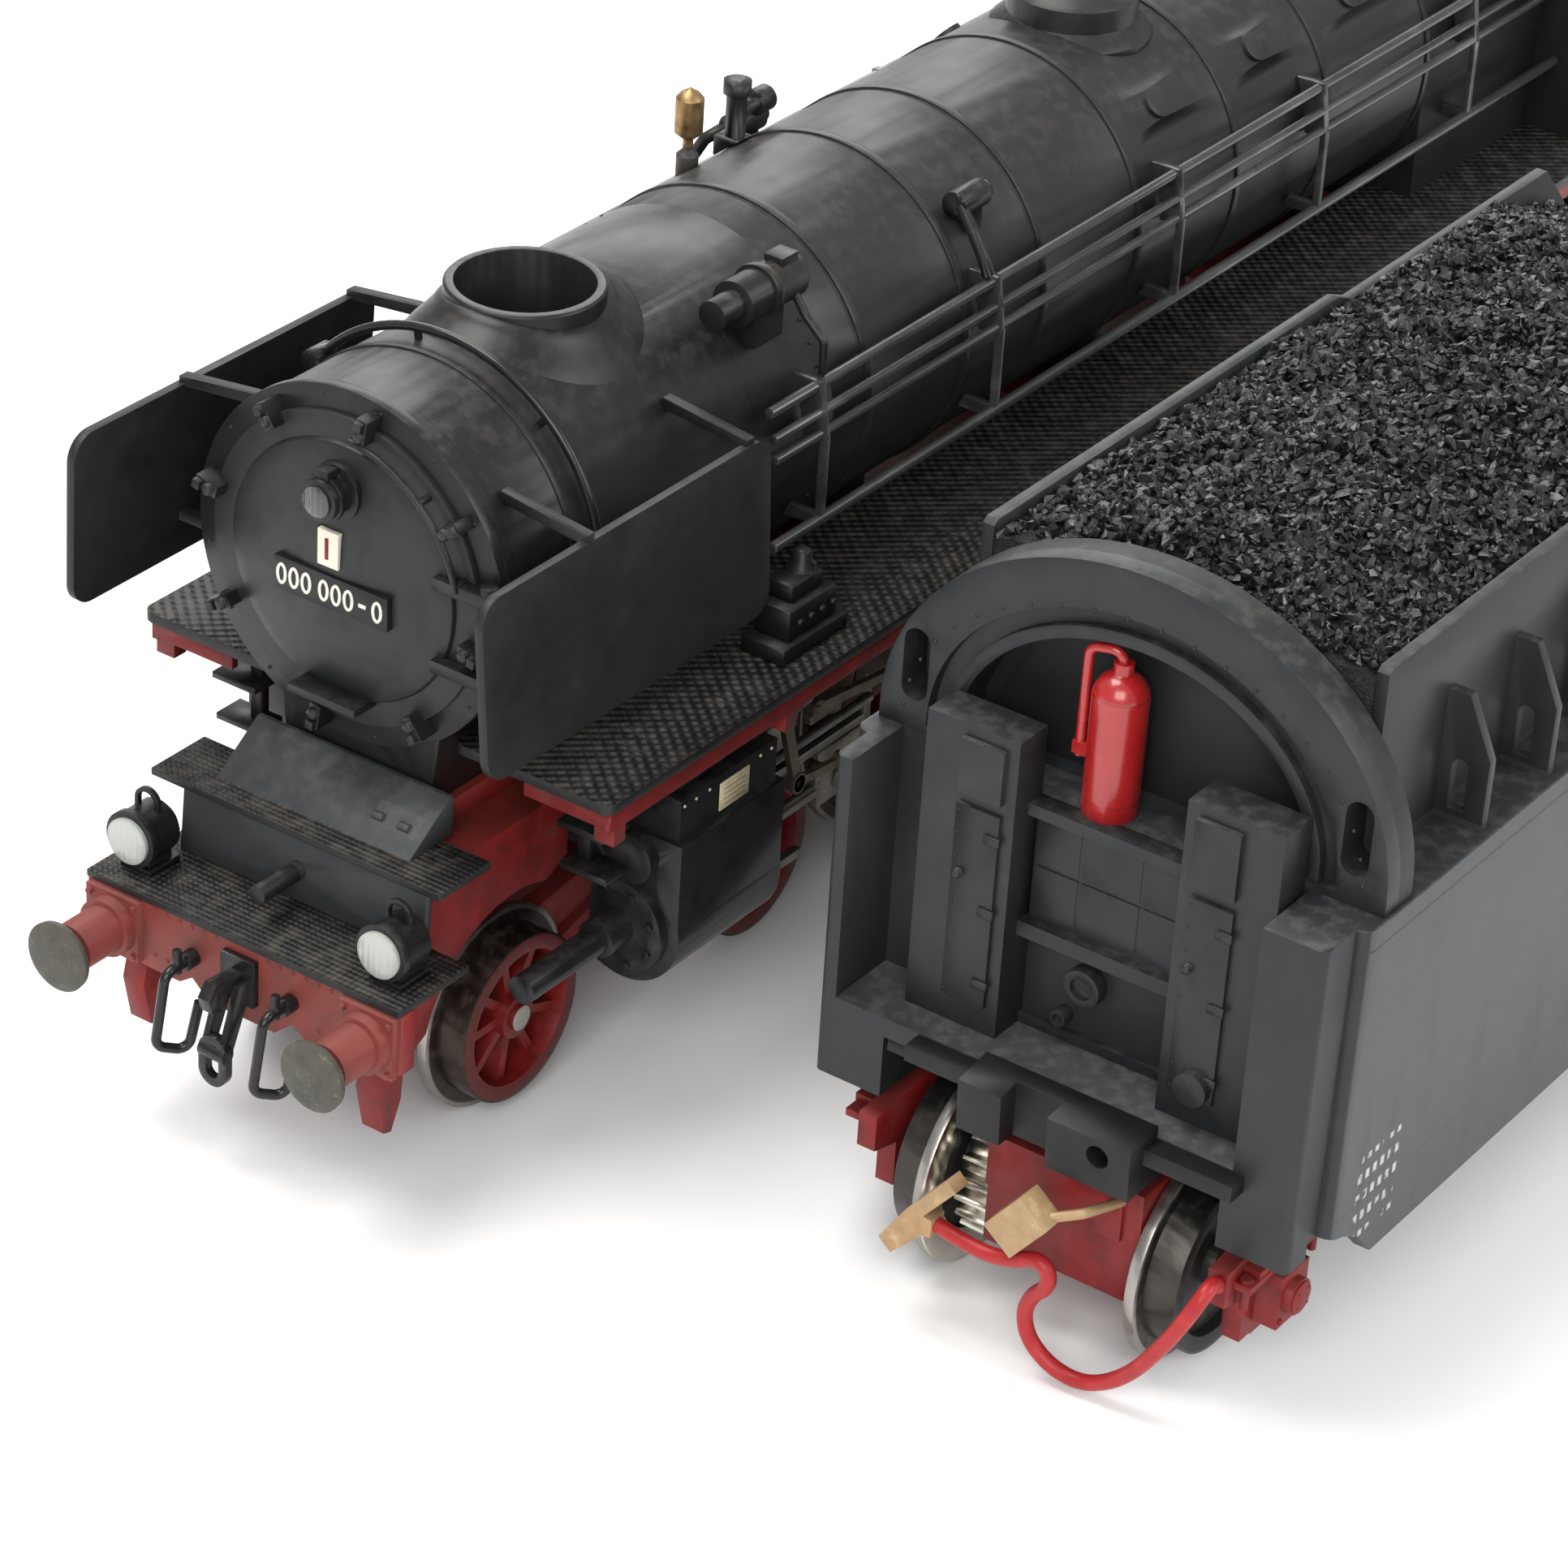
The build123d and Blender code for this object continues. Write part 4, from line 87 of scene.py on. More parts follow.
class Paint:
    """Builds one procedural material: a base finish, then other finishes on masked regions.

    Coordinates in it are millimetres in the part's frame. color, rough and metal are plain
    values until a mask changes them, and node sockets after that."""

    def __init__(self, name, color, rough=0.45, metal=0.0, coat=0.0):
        self.m = bpy.data.materials.new(name)
        self.m.use_nodes = True
        self.m.diffuse_color = (*color, 1)
        self.t = self.m.node_tree
        self.t.nodes.clear()
        out = self.t.nodes.new("ShaderNodeOutputMaterial")
        self.b = self.t.nodes.new("ShaderNodeBsdfPrincipled")
        self.t.links.new(self.b.outputs[0], out.inputs[0])
        self.b.inputs["Specular IOR Level"].default_value = 0.5 if metal or coat else 0.32
        if coat:
            self.b.inputs["Coat Weight"].default_value = coat
            self.b.inputs["Coat Roughness"].default_value = 0.12
        tc = self.t.nodes.new("ShaderNodeTexCoord")
        mapping = self.t.nodes.new("ShaderNodeVectorMath")
        mapping.operation = "SCALE"
        mapping.inputs["Scale"].default_value = 1 / MM
        self.t.links.new(tc.outputs["Object"], mapping.inputs[0])
        self.mm = mapping.outputs[0]
        sep = self.t.nodes.new("ShaderNodeSeparateXYZ")
        self.t.links.new(self.mm, sep.inputs[0])
        self.x, self.y, self.z = sep.outputs
        geo = self.t.nodes.new("ShaderNodeNewGeometry")
        nsep = self.t.nodes.new("ShaderNodeSeparateXYZ")
        self.t.links.new(geo.outputs["Normal"], nsep.inputs[0])
        self.nz = nsep.outputs[2]
        self.color, self.rough, self.metal = (*color, 1), rough, metal
        self.bumps = []

    def feed(self, socket, v):
        """Sets a socket to a plain value, or links it to another node's output."""
        if isinstance(v, (int, float, tuple)):
            socket.default_value = v
        else:
            self.t.links.new(v, socket)

    def math(self, op, a, b=None, clamp=False):
        n = self.t.nodes.new("ShaderNodeMath")
        n.operation = op
        n.use_clamp = clamp
        self.feed(n.inputs[0], a)
        if b is not None:
            self.feed(n.inputs[1], b)
        return n.outputs[0]

    def times(self, a, b):
        return self.math("MULTIPLY", a, b)

    def ramp(self, v, lo, hi):
        """0 below lo, 1 above hi, smooth between; falls instead if lo is above hi."""
        n = self.t.nodes.new("ShaderNodeMapRange")
        n.interpolation_type = "SMOOTHSTEP"
        self.t.links.new(v, n.inputs["Value"])
        flip = lo > hi
        n.inputs["From Min"].default_value = min(lo, hi)
        n.inputs["From Max"].default_value = max(lo, hi)
        n.inputs["To Min"].default_value = 1.0 if flip else 0.0
        n.inputs["To Max"].default_value = 0.0 if flip else 1.0
        return n.outputs["Result"]

    def noise(self, scale, detail=3.0, rough=0.55, stretch=(1, 1, 1)):
        v = self.mm
        if stretch != (1, 1, 1):
            k = self.t.nodes.new("ShaderNodeVectorMath")
            k.operation = "MULTIPLY"
            self.t.links.new(v, k.inputs[0])
            k.inputs[1].default_value = stretch
            v = k.outputs[0]
        n = self.t.nodes.new("ShaderNodeTexNoise")
        self.t.links.new(v, n.inputs["Vector"])
        n.inputs["Scale"].default_value = scale
        n.inputs["Detail"].default_value = detail
        n.inputs["Roughness"].default_value = rough
        return n.outputs["Fac"]

    def box(self, x=None, y=None, z=None, soft=0.03):
        """Mask of the region inside the given limits, in millimetres."""
        mask = None
        for socket, lim in ((self.x, x), (self.y, y), (self.z, z)):
            if lim is None:
                continue
            lo, hi = lim
            part = self.math("MULTIPLY", self.ramp(socket, lo - soft, lo + soft),
                             self.ramp(socket, hi + soft, hi - soft))
            mask = part if mask is None else self.math("MULTIPLY", mask, part)
        return mask

    def radius(self, axis, cx, cy):
        """Distance from an axis along x, y or z through (cx, cy) of the other two."""
        a, b = {"x": (self.y, self.z), "y": (self.x, self.z), "z": (self.x, self.y)}[axis]
        da, db = self.math("SUBTRACT", a, cx), self.math("SUBTRACT", b, cy)
        s = self.math("ADD", self.math("MULTIPLY", da, da), self.math("MULTIPLY", db, db))
        return self.math("SQRT", s)

    def over(self, mask, color=None, rough=None, metal=None, amount=1.0):
        """Lays another finish over the one so far, where the mask is 1."""
        if amount != 1.0:
            mask = self.math("MULTIPLY", mask, amount)
        color = (*color, 1) if color else None
        for key, v, (kind, a, b, out) in (("color", color, COLOR_MIX), ("rough", rough, FLOAT_MIX),
                                          ("metal", metal, FLOAT_MIX)):
            if v is None:
                continue
            n = self.t.nodes.new("ShaderNodeMix")
            n.data_type = kind
            self.t.links.new(mask, n.inputs[0])
            self.feed(n.inputs[a], getattr(self, key))
            n.inputs[b].default_value = v
            setattr(self, key, n.outputs[out])
        return self

    def tone(self, dark, light, scale, detail=3.0, amount=1.0, stretch=(1, 1, 1)):
        """Blotchy change of tone between two colours laid over the paint."""
        n = self.noise(scale, detail, stretch=stretch)
        self.over(self.ramp(n, 0.52, 0.3), color=dark, amount=amount)
        self.over(self.ramp(n, 0.55, 0.75), color=light, amount=amount)
        return self

    def uneven(self, spread=0.08, scale=0.6):
        """Lets the roughness wander by up to the spread."""
        n = self.math("MULTIPLY", self.math("SUBTRACT", self.noise(scale, 4), 0.5), spread * 2)
        self.rough = self.math("ADD", self.rough, n, clamp=True)
        return self

    def bump(self, height, strength=0.3, distance=0.05):
        """Adds relief of a height socket; distance is in millimetres."""
        self.bumps.append((height, strength, distance))
        return self

    def grain(self, scale=6.0, strength=0.12, distance=0.03):
        return self.bump(self.noise(scale, 5), strength, distance)

    def waves(self, socket, pitch):
        """Ribs at a pitch in millimetres along a coordinate."""
        return self.math("SINE", self.math("MULTIPLY", socket, 2 * math.pi / pitch))

    def dust(self, color=(0.20, 0.17, 0.14), amount=0.18):
        """Pale patches on what faces up."""
        up = self.ramp(self.nz, 0.35, 0.95)
        n = self.ramp(self.noise(0.9, 5), 0.42, 0.68)
        return self.over(self.math("MULTIPLY", up, n), color=color, rough=0.75, amount=amount)

    def done(self):
        """Connects the finish to the shader and returns the material."""
        self.feed(self.b.inputs["Base Color"], self.color)
        self.feed(self.b.inputs["Roughness"], self.rough)
        self.feed(self.b.inputs["Metallic"], self.metal)
        normal = None
        for height, strength, distance in self.bumps:
            n = self.t.nodes.new("ShaderNodeBump")
            n.inputs["Strength"].default_value = strength
            n.inputs["Distance"].default_value = distance * MM
            self.t.links.new(height, n.inputs["Height"])
            if normal is not None:
                self.t.links.new(normal, n.inputs["Normal"])
            normal = n.outputs["Normal"]
        if normal is not None:
            self.t.links.new(normal, self.b.inputs["Normal"])
        return self.m


WHEEL_RED = (0.15, 0.0085, 0.008)
SEAM_BLACK = (0.008, 0.008, 0.008)
DEEP_BLACK = (0.006, 0.006, 0.006)


def black(name, color=(0.0085, 0.0085, 0.009), rough=0.42, dusty=0.07):
    """Matt black paint with faint blotches and a little dust."""
    p = Paint(name, color, rough)
    p.tone((0.0045, 0.0045, 0.005), (0.016, 0.0155, 0.0145), 0.35, amount=0.7)
    p.uneven(0.09).grain(7, 0.10)
    if dusty:
        p.dust(amount=dusty)
    return p


def red(name, color=(0.165, 0.0085, 0.0085), rough=0.48, stain=0.5):
    """Dark frame red, stained brown in patches and on what faces up."""
    p = Paint(name, color, rough)
    p.tone((0.085, 0.005, 0.005), (0.23, 0.016, 0.014), 0.5, amount=0.75)
    grime = p.ramp(p.noise(0.33, 6, 0.65), 0.50, 0.72)
    p.over(grime, color=(0.085, 0.035, 0.026), rough=0.72, amount=stain)
    p.over(p.ramp(p.nz, 0.5, 0.95), color=(0.12, 0.040, 0.030), rough=0.7, amount=0.3)
    p.uneven(0.10).grain(6, 0.16)
    return p


def give(material, *names):
    """Puts one material on each of the named CAD nodes."""
    for n in names:
        mesh = nodes[n].data
        mesh.materials.clear()
        mesh.materials.append(material)


m_black = black("black_paint").done()
m_gloss = black("gloss_black", (0.012, 0.012, 0.013), 0.24, 0.05).done()
m_red = red("red_paint").done()

# boiler cladding, with a fine grain, a painted highlight that lightens its upper side, and the thin
# scribed lines of its sheets
CLADDING_SEAMS = (69.9, 52.0, 39.55, 27.25, 18.95, 6.9, -18.5, -33.0)
p = Paint("boiler_paint", (0.0135, 0.0135, 0.014), 0.40)
p.tone((0.009, 0.009, 0.009), (0.024, 0.0235, 0.022), 0.16, 5, amount=0.65)
# painted highlight: faces that point up are painted a lighter grey, as if lit from above
p.over(p.ramp(p.nz, 0.2, 1.0), color=(0.028, 0.0275, 0.026), rough=0.42, amount=0.5)
p.uneven(0.07, 0.35).grain(5, 0.09).dust((0.16, 0.14, 0.12), 0.10)
for seam in CLADDING_SEAMS:
    p.over(p.box(x=(seam - 0.05, seam + 0.05)), color=SEAM_BLACK, rough=0.7)
m_boiler = p.done()

# smokebox and chimney, with two joint lines
p = Paint("smokebox_paint", (0.0095, 0.0095, 0.010), 0.38)
p.tone((0.006, 0.006, 0.006), (0.019, 0.0185, 0.018), 0.22, 5, amount=0.7)
p.uneven(0.09, 0.4).grain(5, 0.12).dust((0.15, 0.13, 0.11), 0.12)
p.over(p.box(x=(75.25, 75.38)), color=DEEP_BLACK)
p.over(p.box(x=(50.9, 51.02)), color=DEEP_BLACK)
m_smokebox = p.done()

# smokebox door, with a dark ring and a duller rim
p = black("door_paint", (0.0145, 0.0155, 0.0165), 0.40, 0.05)
r = p.radius("x", 0.0, BOILER_Z)
p.over(p.times(p.ramp(r, 8.3, 8.4), p.ramp(r, 8.62, 8.5)), color=DEEP_BLACK)
p.over(p.ramp(r, 6.5, 9.6), color=(0.018, 0.018, 0.019), rough=0.5, amount=0.6)
m_door = p.done()

# chequered plate of the front platforms
CHEQUER = 0.9
p = black("chequer_plate", (0.012, 0.012, 0.012), 0.5, 0.2)
studs = p.times(p.waves(p.math("ADD", p.x, p.y), CHEQUER),
                p.waves(p.math("SUBTRACT", p.x, p.y), CHEQUER))
flat = p.ramp(p.nz, 0.6, 0.9)
p.bump(p.times(studs, flat), 0.55, 0.16)
p.over(p.times(p.ramp(studs, 0.2, 0.8), flat), color=(0.034, 0.032, 0.030), rough=0.42, amount=0.5)
m_platform = p.done()

# ribbed tread of the running boards, in plates with dark joints
TREAD, TREAD_SLANT, BOARD_PLATE = 0.95, 0.9, 9
p = black("running_board", (0.012, 0.012, 0.0118), 0.52, 0.2)
slant = p.times(p.y, TREAD_SLANT)
flat = p.ramp(p.nz, 0.6, 0.9)
weave = p.times(p.math("ADD", p.waves(p.math("ADD", p.x, slant), TREAD),
                       p.waves(p.math("SUBTRACT", p.x, slant), TREAD)), flat)
p.bump(weave, 0.6, 0.16)
p.over(p.times(p.ramp(weave, 0.35, 1.1), flat), color=(0.036, 0.034, 0.031), rough=0.45, amount=0.5)
for joint in range(-48, 76, BOARD_PLATE):
    p.over(p.box(x=(joint - 0.06, joint + 0.06)), color=SEAM_BLACK, rough=0.8)
p.over(p.box(y=(6.0, 8.0)), color=(0.012, 0.012, 0.012), rough=0.7, amount=0.5)
m_board = p.done()

# grey apron under the smokebox, darker at its foot and on its front edge
p = Paint("apron_grey", (0.034, 0.037, 0.040), 0.48)
p.tone((0.024, 0.026, 0.028), (0.050, 0.052, 0.055), 0.4, amount=0.6)
p.over(p.box(z=(15.0, 15.8)), color=(0.03, 0.028, 0.026), rough=0.7, amount=0.7)
p.over(p.ramp(p.x, 81.7, 81.9), color=(0.012, 0.012, 0.012), rough=0.45)
p.over(p.box(x=(78.0, 80.0), y=(3.5, 7.0), z=(21.2, 22.2)), color=(0.05, 0.05, 0.052))
p.uneven(0.08).grain(6, 0.12).dust((0.22, 0.20, 0.17), 0.12)
m_apron = p.done()

# worn buffer heads, with red paint left behind the rim
p = Paint("buffer_head", (0.062, 0.058, 0.048), 0.60)
p.tone((0.038, 0.035, 0.028), (0.092, 0.086, 0.070), 0.9, 6, amount=0.7)
p.over(p.ramp(p.noise(2.2, 6), 0.60, 0.72), color=(0.20, 0.17, 0.12), rough=0.5, amount=0.4)
p.over(p.ramp(p.x, 92.1, 91.9), color=(0.11, 0.05, 0.04), rough=0.6)
p.uneven(0.1).grain(5, 0.2)
m_buffer = p.done()

# ribbed white lamp glass, and the dark glass of the top lamp
p = Paint("lamp_glass", (0.62, 0.64, 0.60), 0.16, coat=0.6)
for s in SIDES:
    r = p.radius("x", s * LAMP_Y, LAMP_Z)
    p.over(p.ramp(r, 1.25, 1.5), color=(0.30, 0.31, 0.29), rough=0.3, amount=0.8)
p.over(p.ramp(p.z, 30, 31), color=(0.018, 0.018, 0.020), rough=0.14)
p.bump(p.waves(p.y, 0.42), 0.25, 0.05)
m_lens = p.done()

# number plates: black, with a pale panel on the upper one
p = Paint("plate_paint", (0.010, 0.010, 0.011), 0.42)
p.over(p.box(y=(-0.86, 0.86), z=(37.3, 39.9)), color=(0.66, 0.62, 0.52), rough=0.5)
p.grain(6, 0.08)
m_plate = p.done()

# whistle: dull brass on a dark foot
p = Paint("dull_brass", (0.30, 0.19, 0.085), 0.42, 0.85)
p.tone((0.13, 0.075, 0.035), (0.44, 0.30, 0.15), 1.2, 5, amount=0.8)
p.over(p.ramp(p.z, 47.6, 47.2), color=(0.05, 0.045, 0.04), rough=0.5, metal=0.3)
p.uneven(0.12).grain(7, 0.15)
m_brass = p.done()

# rods and motion: grey metal with brown stains
p = Paint("rod_metal", (0.20, 0.185, 0.16), 0.38, 0.85)
p.tone((0.11, 0.10, 0.085), (0.34, 0.32, 0.285), 0.7, 5, amount=0.8)
p.over(p.ramp(p.noise(0.45, 6), 0.55, 0.72), color=(0.07, 0.045, 0.03), rough=0.65, metal=0.3,
       amount=0.55)
p.uneven(0.12).grain(8, 0.1)
m_motion = p.done()

# long pipes and rails along the boiler
p = Paint("pipe_metal", (0.075, 0.075, 0.073), 0.30, 0.6)
p.tone((0.035, 0.035, 0.034), (0.17, 0.165, 0.155), 0.5, 5, amount=0.8, stretch=(0.25, 1, 1))
p.uneven(0.14).grain(8, 0.08)
m_pipe = p.done()

# tender body: outer side walls painted a lighter grey than the front as painted light, with small pale
# markings without lettering, darker walls round the coal
p = Paint("tender_paint", (0.017, 0.0185, 0.0205), 0.46)
p.tone((0.012, 0.013, 0.0145), (0.026, 0.0275, 0.0295), 0.14, 5, amount=0.6)
# painted light: the outer side walls get a lighter grey, as if lit more than the front wall; the seams and
# markings below go on these walls only
side = p.math("ADD", p.ramp(p.y, 65.30, 65.42), p.ramp(p.y, 30.70, 30.58))
p.over(side, color=(0.066, 0.068, 0.070), rough=0.50, amount=0.9)
p.over(p.times(side, p.box(z=(31.6, 31.72))), color=(0.02, 0.02, 0.021))
p.over(p.times(side, p.box(z=(13.0, 13.1))), color=(0.04, 0.04, 0.041))
marks = p.times(p.ramp(p.waves(p.x, 0.86), -0.2, 0.2), p.ramp(p.waves(p.z, 1.45), 0.0, 0.35))
marks = p.times(marks, p.ramp(p.noise(1.1, 2), 0.40, 0.50))
marks = p.times(marks, p.box(x=(59.8, 65.2), z=(10.4, 16.4)))
p.over(p.times(marks, side), color=(0.50, 0.50, 0.48), rough=0.5, amount=0.85)
p.over(p.box(z=(33.0, 33.4), x=(-24, 62)), color=(0.030, 0.030, 0.031), rough=0.6, amount=0.8)
p.over(p.box(y=(34.8, 61.2), z=(33.1, 46.5)), color=(0.013, 0.0135, 0.0145), rough=0.5)
streak = p.ramp(p.noise(0.5, 5, stretch=(1.0, 1.0, 0.12)), 0.52, 0.75)
p.over(streak, color=(0.035, 0.033, 0.031), rough=0.6, amount=0.28)
p.uneven(0.07, 0.4).grain(5, 0.09).dust((0.22, 0.20, 0.18), 0.14)
m_tender = p.done()

# tender front wall, with painted shade in the recess behind its arch
p = Paint("tender_front_paint", (0.016, 0.0175, 0.019), 0.44)
p.tone((0.010, 0.011, 0.012), (0.025, 0.0265, 0.0285), 0.3, 5, amount=0.7)
# painted shade: the recess behind the arch is painted darker
p.over(p.box(x=(61.0, 64.1), z=(32.0, 50)), color=(0.010, 0.010, 0.010), rough=0.6, amount=0.8)
p.uneven(0.08, 0.5).grain(5, 0.10).dust((0.20, 0.18, 0.16), 0.12)
m_bulkhead = p.done()

# bed of the coal, which shows only between the chunks
p = Paint("coal_base", (0.012, 0.012, 0.012), 0.5)
p.tone((0.005, 0.005, 0.005), (0.04, 0.039, 0.037), 1.4, 4)
p.bump(p.noise(1.2, 6, 0.7), 1.0, 0.6)
m_coal_base = p.done()

# fire extinguisher: glossy red with two joint lines
p = Paint("extinguisher_red", (0.32, 0.012, 0.013), 0.26, coat=0.4)
p.tone((0.26, 0.007, 0.007), (0.45, 0.025, 0.020), 0.9, amount=0.6)
p.over(p.box(z=(40.0, 40.12)), color=(0.20, 0.01, 0.01))
p.over(p.box(z=(33.2, 33.3)), color=(0.22, 0.01, 0.01))
p.uneven(0.08).grain(5, 0.12)
m_ext = p.done()

# tan plugs of the motor wire
p = Paint("plug_tan", (0.36, 0.22, 0.105), 0.45)
p.tone((0.28, 0.17, 0.09), (0.52, 0.36, 0.2), 1.1, amount=0.8)
p.over(p.ramp(p.math("ADD", p.z, p.math("MULTIPLY", p.y, 0.4)), 24.0, 24.6),
       color=(0.30, 0.24, 0.15), rough=0.3, metal=0.6, amount=0.3)
p.uneven(0.1).grain(6, 0.15)
m_tan = p.done()

# insulation of the motor wire
p = Paint("wire_red", (0.33, 0.016, 0.018), 0.40)
p.tone((0.26, 0.011, 0.012), (0.42, 0.028, 0.028), 0.8, amount=0.6)
p.uneven(0.08).grain(5, 0.08)
m_wire = p.done()

CRANK, PIN_R = 3.8, 0.75
PIN_ANGLES = (210, 330)         # crank pins of the two sides at rest, in degrees


def wheel_paint(node, tread, rim, hub, disc_color, disc_rough, pins=(), gear=False,
                tyre_color=(0.050, 0.036, 0.031)):
    """Painted centre, bright tyre and flange, steel axle end, and steel crank pins."""
    centre = middle(node)
    p = Paint("paint_" + node, disc_color, disc_rough)
    dark = tuple(c * 0.5 for c in disc_color)
    light = tuple(min(1, c * 1.45 + 0.01) for c in disc_color)
    p.tone(dark, light, 0.55, 5, amount=0.7)
    r = p.radius("y", centre.x, centre.z)
    p.over(p.ramp(p.noise(0.45, 6), 0.52, 0.72), color=(0.05, 0.028, 0.02), rough=0.7, amount=0.45)
    p.over(p.ramp(r, rim - 0.04, rim + 0.04), color=tuple(c * 0.55 + 0.006 for c in disc_color), rough=0.5)
    tyre = p.ramp(r, tread - 0.20, tread - 0.10)
    p.over(tyre, color=tyre_color, rough=0.32, metal=0.9)
    p.over(p.times(tyre, p.ramp(p.noise(0.9, 5), 0.45, 0.7)), color=(0.055, 0.042, 0.034),
           rough=0.55, metal=0.5, amount=0.8)
    p.over(p.times(p.ramp(r, tread + 0.72, tread + 0.85), p.ramp(r, tread + 2, tread + 1.8)),
           color=(0.42, 0.40, 0.37), rough=0.3, metal=1.0, amount=0.7)
    p.over(p.ramp(r, hub + 0.03, hub - 0.03), color=(0.46, 0.44, 0.40), rough=0.3, metal=1.0)
    for angle in pins:
        a = math.radians(angle)
        q = p.radius("y", centre.x + CRANK * math.cos(a), centre.z + CRANK * math.sin(a))
        p.over(p.ramp(q, PIN_R + 0.05, PIN_R - 0.05), color=(0.40, 0.38, 0.34), rough=0.3, metal=1.0)
    if gear:
        p.over(p.box(y=(40.7, 43.95)), color=(0.60, 0.57, 0.50), rough=0.26, metal=1.0)
    p.uneven(0.09).grain(6, 0.14)
    return p.done()


for n in ("leading_wheelset_1", "leading_wheelset_2"):
    give(wheel_paint(n, 5.75, 4.75, 0.85, WHEEL_RED, 0.42), n)
give(wheel_paint("trailing_wheelset", 7.2, 6.2, 0.85, WHEEL_RED, 0.42), "trailing_wheelset")
for n in ("driver_1", "driver_2", "driver_3"):
    give(wheel_paint(n, 11.5, 10.3, 1.2, WHEEL_RED, 0.42, pins=PIN_ANGLES), n)
for k in range(1, 5):
    n = f"tender_wheelset_{k}"
    give(wheel_paint(n, 5.75, 4.6, 0.8, (0.022, 0.022, 0.022), 0.4, gear=(k == 1),
                     tyre_color=(0.060, 0.055, 0.050)), n)

give(m_red, "loco_frame", "lead_bogie", "trailing_truck", "rear_bogie", "front_bogie")
give(red("valance_red", (0.14, 0.007, 0.007), 0.5, 0.4).done(), "board_valances")
p = red("beam_red", (0.19, 0.010, 0.010), 0.46, 0.6)
p.over(p.box(x=(86.8, 91.3)), color=(0.16, 0.06, 0.045), rough=0.6, amount=0.45)
m_beam = p.done()
give(m_beam, "buffer_beam", "tender_rear_fittings")
give(m_buffer, "buffer_heads")
give(m_platform, "front_platforms")
give(m_apron, "apron_panels")
give(m_gloss, "screw_coupling", "brake_hoses", "boiler_handrail")
give(m_black, "front_lamps", "door_fittings")
give(black("block_paint", (0.006, 0.006, 0.0065), 0.5, 0.0).done(), "coupling_block")
give(m_lens, "lamp_lenses")
give(m_smokebox, "smokebox", "chimney")
give(m_door, "smokebox_door")
give(m_plate, "number_plates")
give(m_boiler, "boiler_shell", "steam_domes", "cab")
give(black("deflector_paint", (0.0095, 0.0095, 0.010), 0.50, 0.04).done(), "smoke_deflectors")
give(black("fitting_paint", (0.011, 0.011, 0.011), 0.42, 0.15).done(), "turbo_generator",
     "boiler_valves")
give(m_pipe, "side_pipes")
give(m_brass, "whistle")
give(m_board, "running_boards")
give(black("cylinder_paint", (0.014, 0.014, 0.015), 0.30, 0.1).done(), "cylinders")
give(m_motion, "motion_bracket", "expansion_links", "coupling_rod_left", "coupling_rod_right",
     "connecting_rod_left", "connecting_rod_right", "crosshead_left", "crosshead_right", "drawbar")
give(black("roof_paint", (0.013, 0.013, 0.0135), 0.55, 0.15).done(), "cab_roof")
give(m_tender, "tender_body")
give(m_bulkhead, "tender_bulkhead")
give(m_coal_base, "coal_load")
give(m_ext, "fire_extinguisher")
p = Paint("gear_metal", (0.56, 0.53, 0.46), 0.26, 1.0)
p.tone((0.26, 0.24, 0.20), (0.74, 0.71, 0.63), 0.9, amount=0.6)
p.uneven(0.1).grain(6, 0.1)
give(p.done(), "idler_gear", "motor_armature")
give(m_tan, "wire_plugs")
give(m_wire, "motor_wire")

# soft edges on the CAD meshes, narrower on the small ones, and smooth round faces
SMALL = {"front_lamps", "door_fittings", "whistle", "boiler_valves", "turbo_generator", "lamp_lenses",
         "number_plates", "screw_coupling", "brake_hoses", "wire_plugs", "boiler_handrail"}
WELD_WITHIN = 1e-6              # metres
SHARP_FROM = math.radians(32)
for n, o in nodes.items():
    weld = o.modifiers.new("weld", "WELD")
    weld.merge_threshold = WELD_WITHIN
    for face in o.data.polygons:
        face.use_smooth = True
    bevel = o.modifiers.new("soft_edges", "BEVEL")
    bevel.width = (0.05 if n in SMALL else 0.09) * MM
    bevel.segments = 2
    bevel.limit_method = "ANGLE"
    bevel.angle_limit = SHARP_FROM
    bevel.use_clamp_overlap = True
    bevel.harden_normals = True


# --------------------------------------------------------------------------- motor wire
# The first point is at the blade plug and the last at the bogie's side frame.
WIRE_R, WIRE_LENGTH = 0.5, 32.3
WIRE = [
    (74.4, 43.2, 6.7), (74.4, 46.2, 6.1), (74.4, 48.6, 6.6), (74.4, 50.1, 7.5), (74.4, 51.1, 7.0),
    (74.4, 51.1, 5.8), (74.3, 50.1, 4.8), (74.2, 49.5, 3.2), (74.2, 50.0, 1.4), (74.1, 51.8, 0.0),
    (73.9, 54.2, -0.2), (74.0, 56.9, 1.9), (74.2, 59.1, 5.4), (74.1, 60.4, 8.0), (73.5, 60.9, 9.4),
    (72.3, 60.8, 9.6), (71.0, 60.4, 8.4),
]
curve = bpy.data.curves.new("motor_wire_soft", "CURVE")
curve.dimensions = "3D"
curve.bevel_depth = WIRE_R * MM
curve.bevel_resolution = 6
curve.resolution_u = 24
curve.use_fill_caps = True
spline = curve.splines.new("NURBS")
spline.points.add(len(WIRE) - 1)
for point, place in zip(spline.points, WIRE):
    point.co = (*(c * MM for c in place), 1)
spline.order_u = 3
spline.use_endpoint_u = True
wire = bpy.data.objects.new("motor_wire_soft", curve)
bpy.context.scene.collection.objects.link(wire)
curve.materials.append(m_wire)
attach(wire, "front_bogie")
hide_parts("motor_wire")


# --------------------------------------------------------------------------- mesh helpers
def piece(name, bm, material, body, smooth=True):
    """Makes an object of a bmesh, with its material and body."""
    mesh = bpy.data.meshes.new(name)
    bm.to_mesh(mesh)
    bm.free()
    o = bpy.data.objects.new(name, mesh)
    bpy.context.scene.collection.objects.link(o)
    mesh.materials.append(material)
    for face in mesh.polygons:
        face.use_smooth = smooth
    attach(o, body)


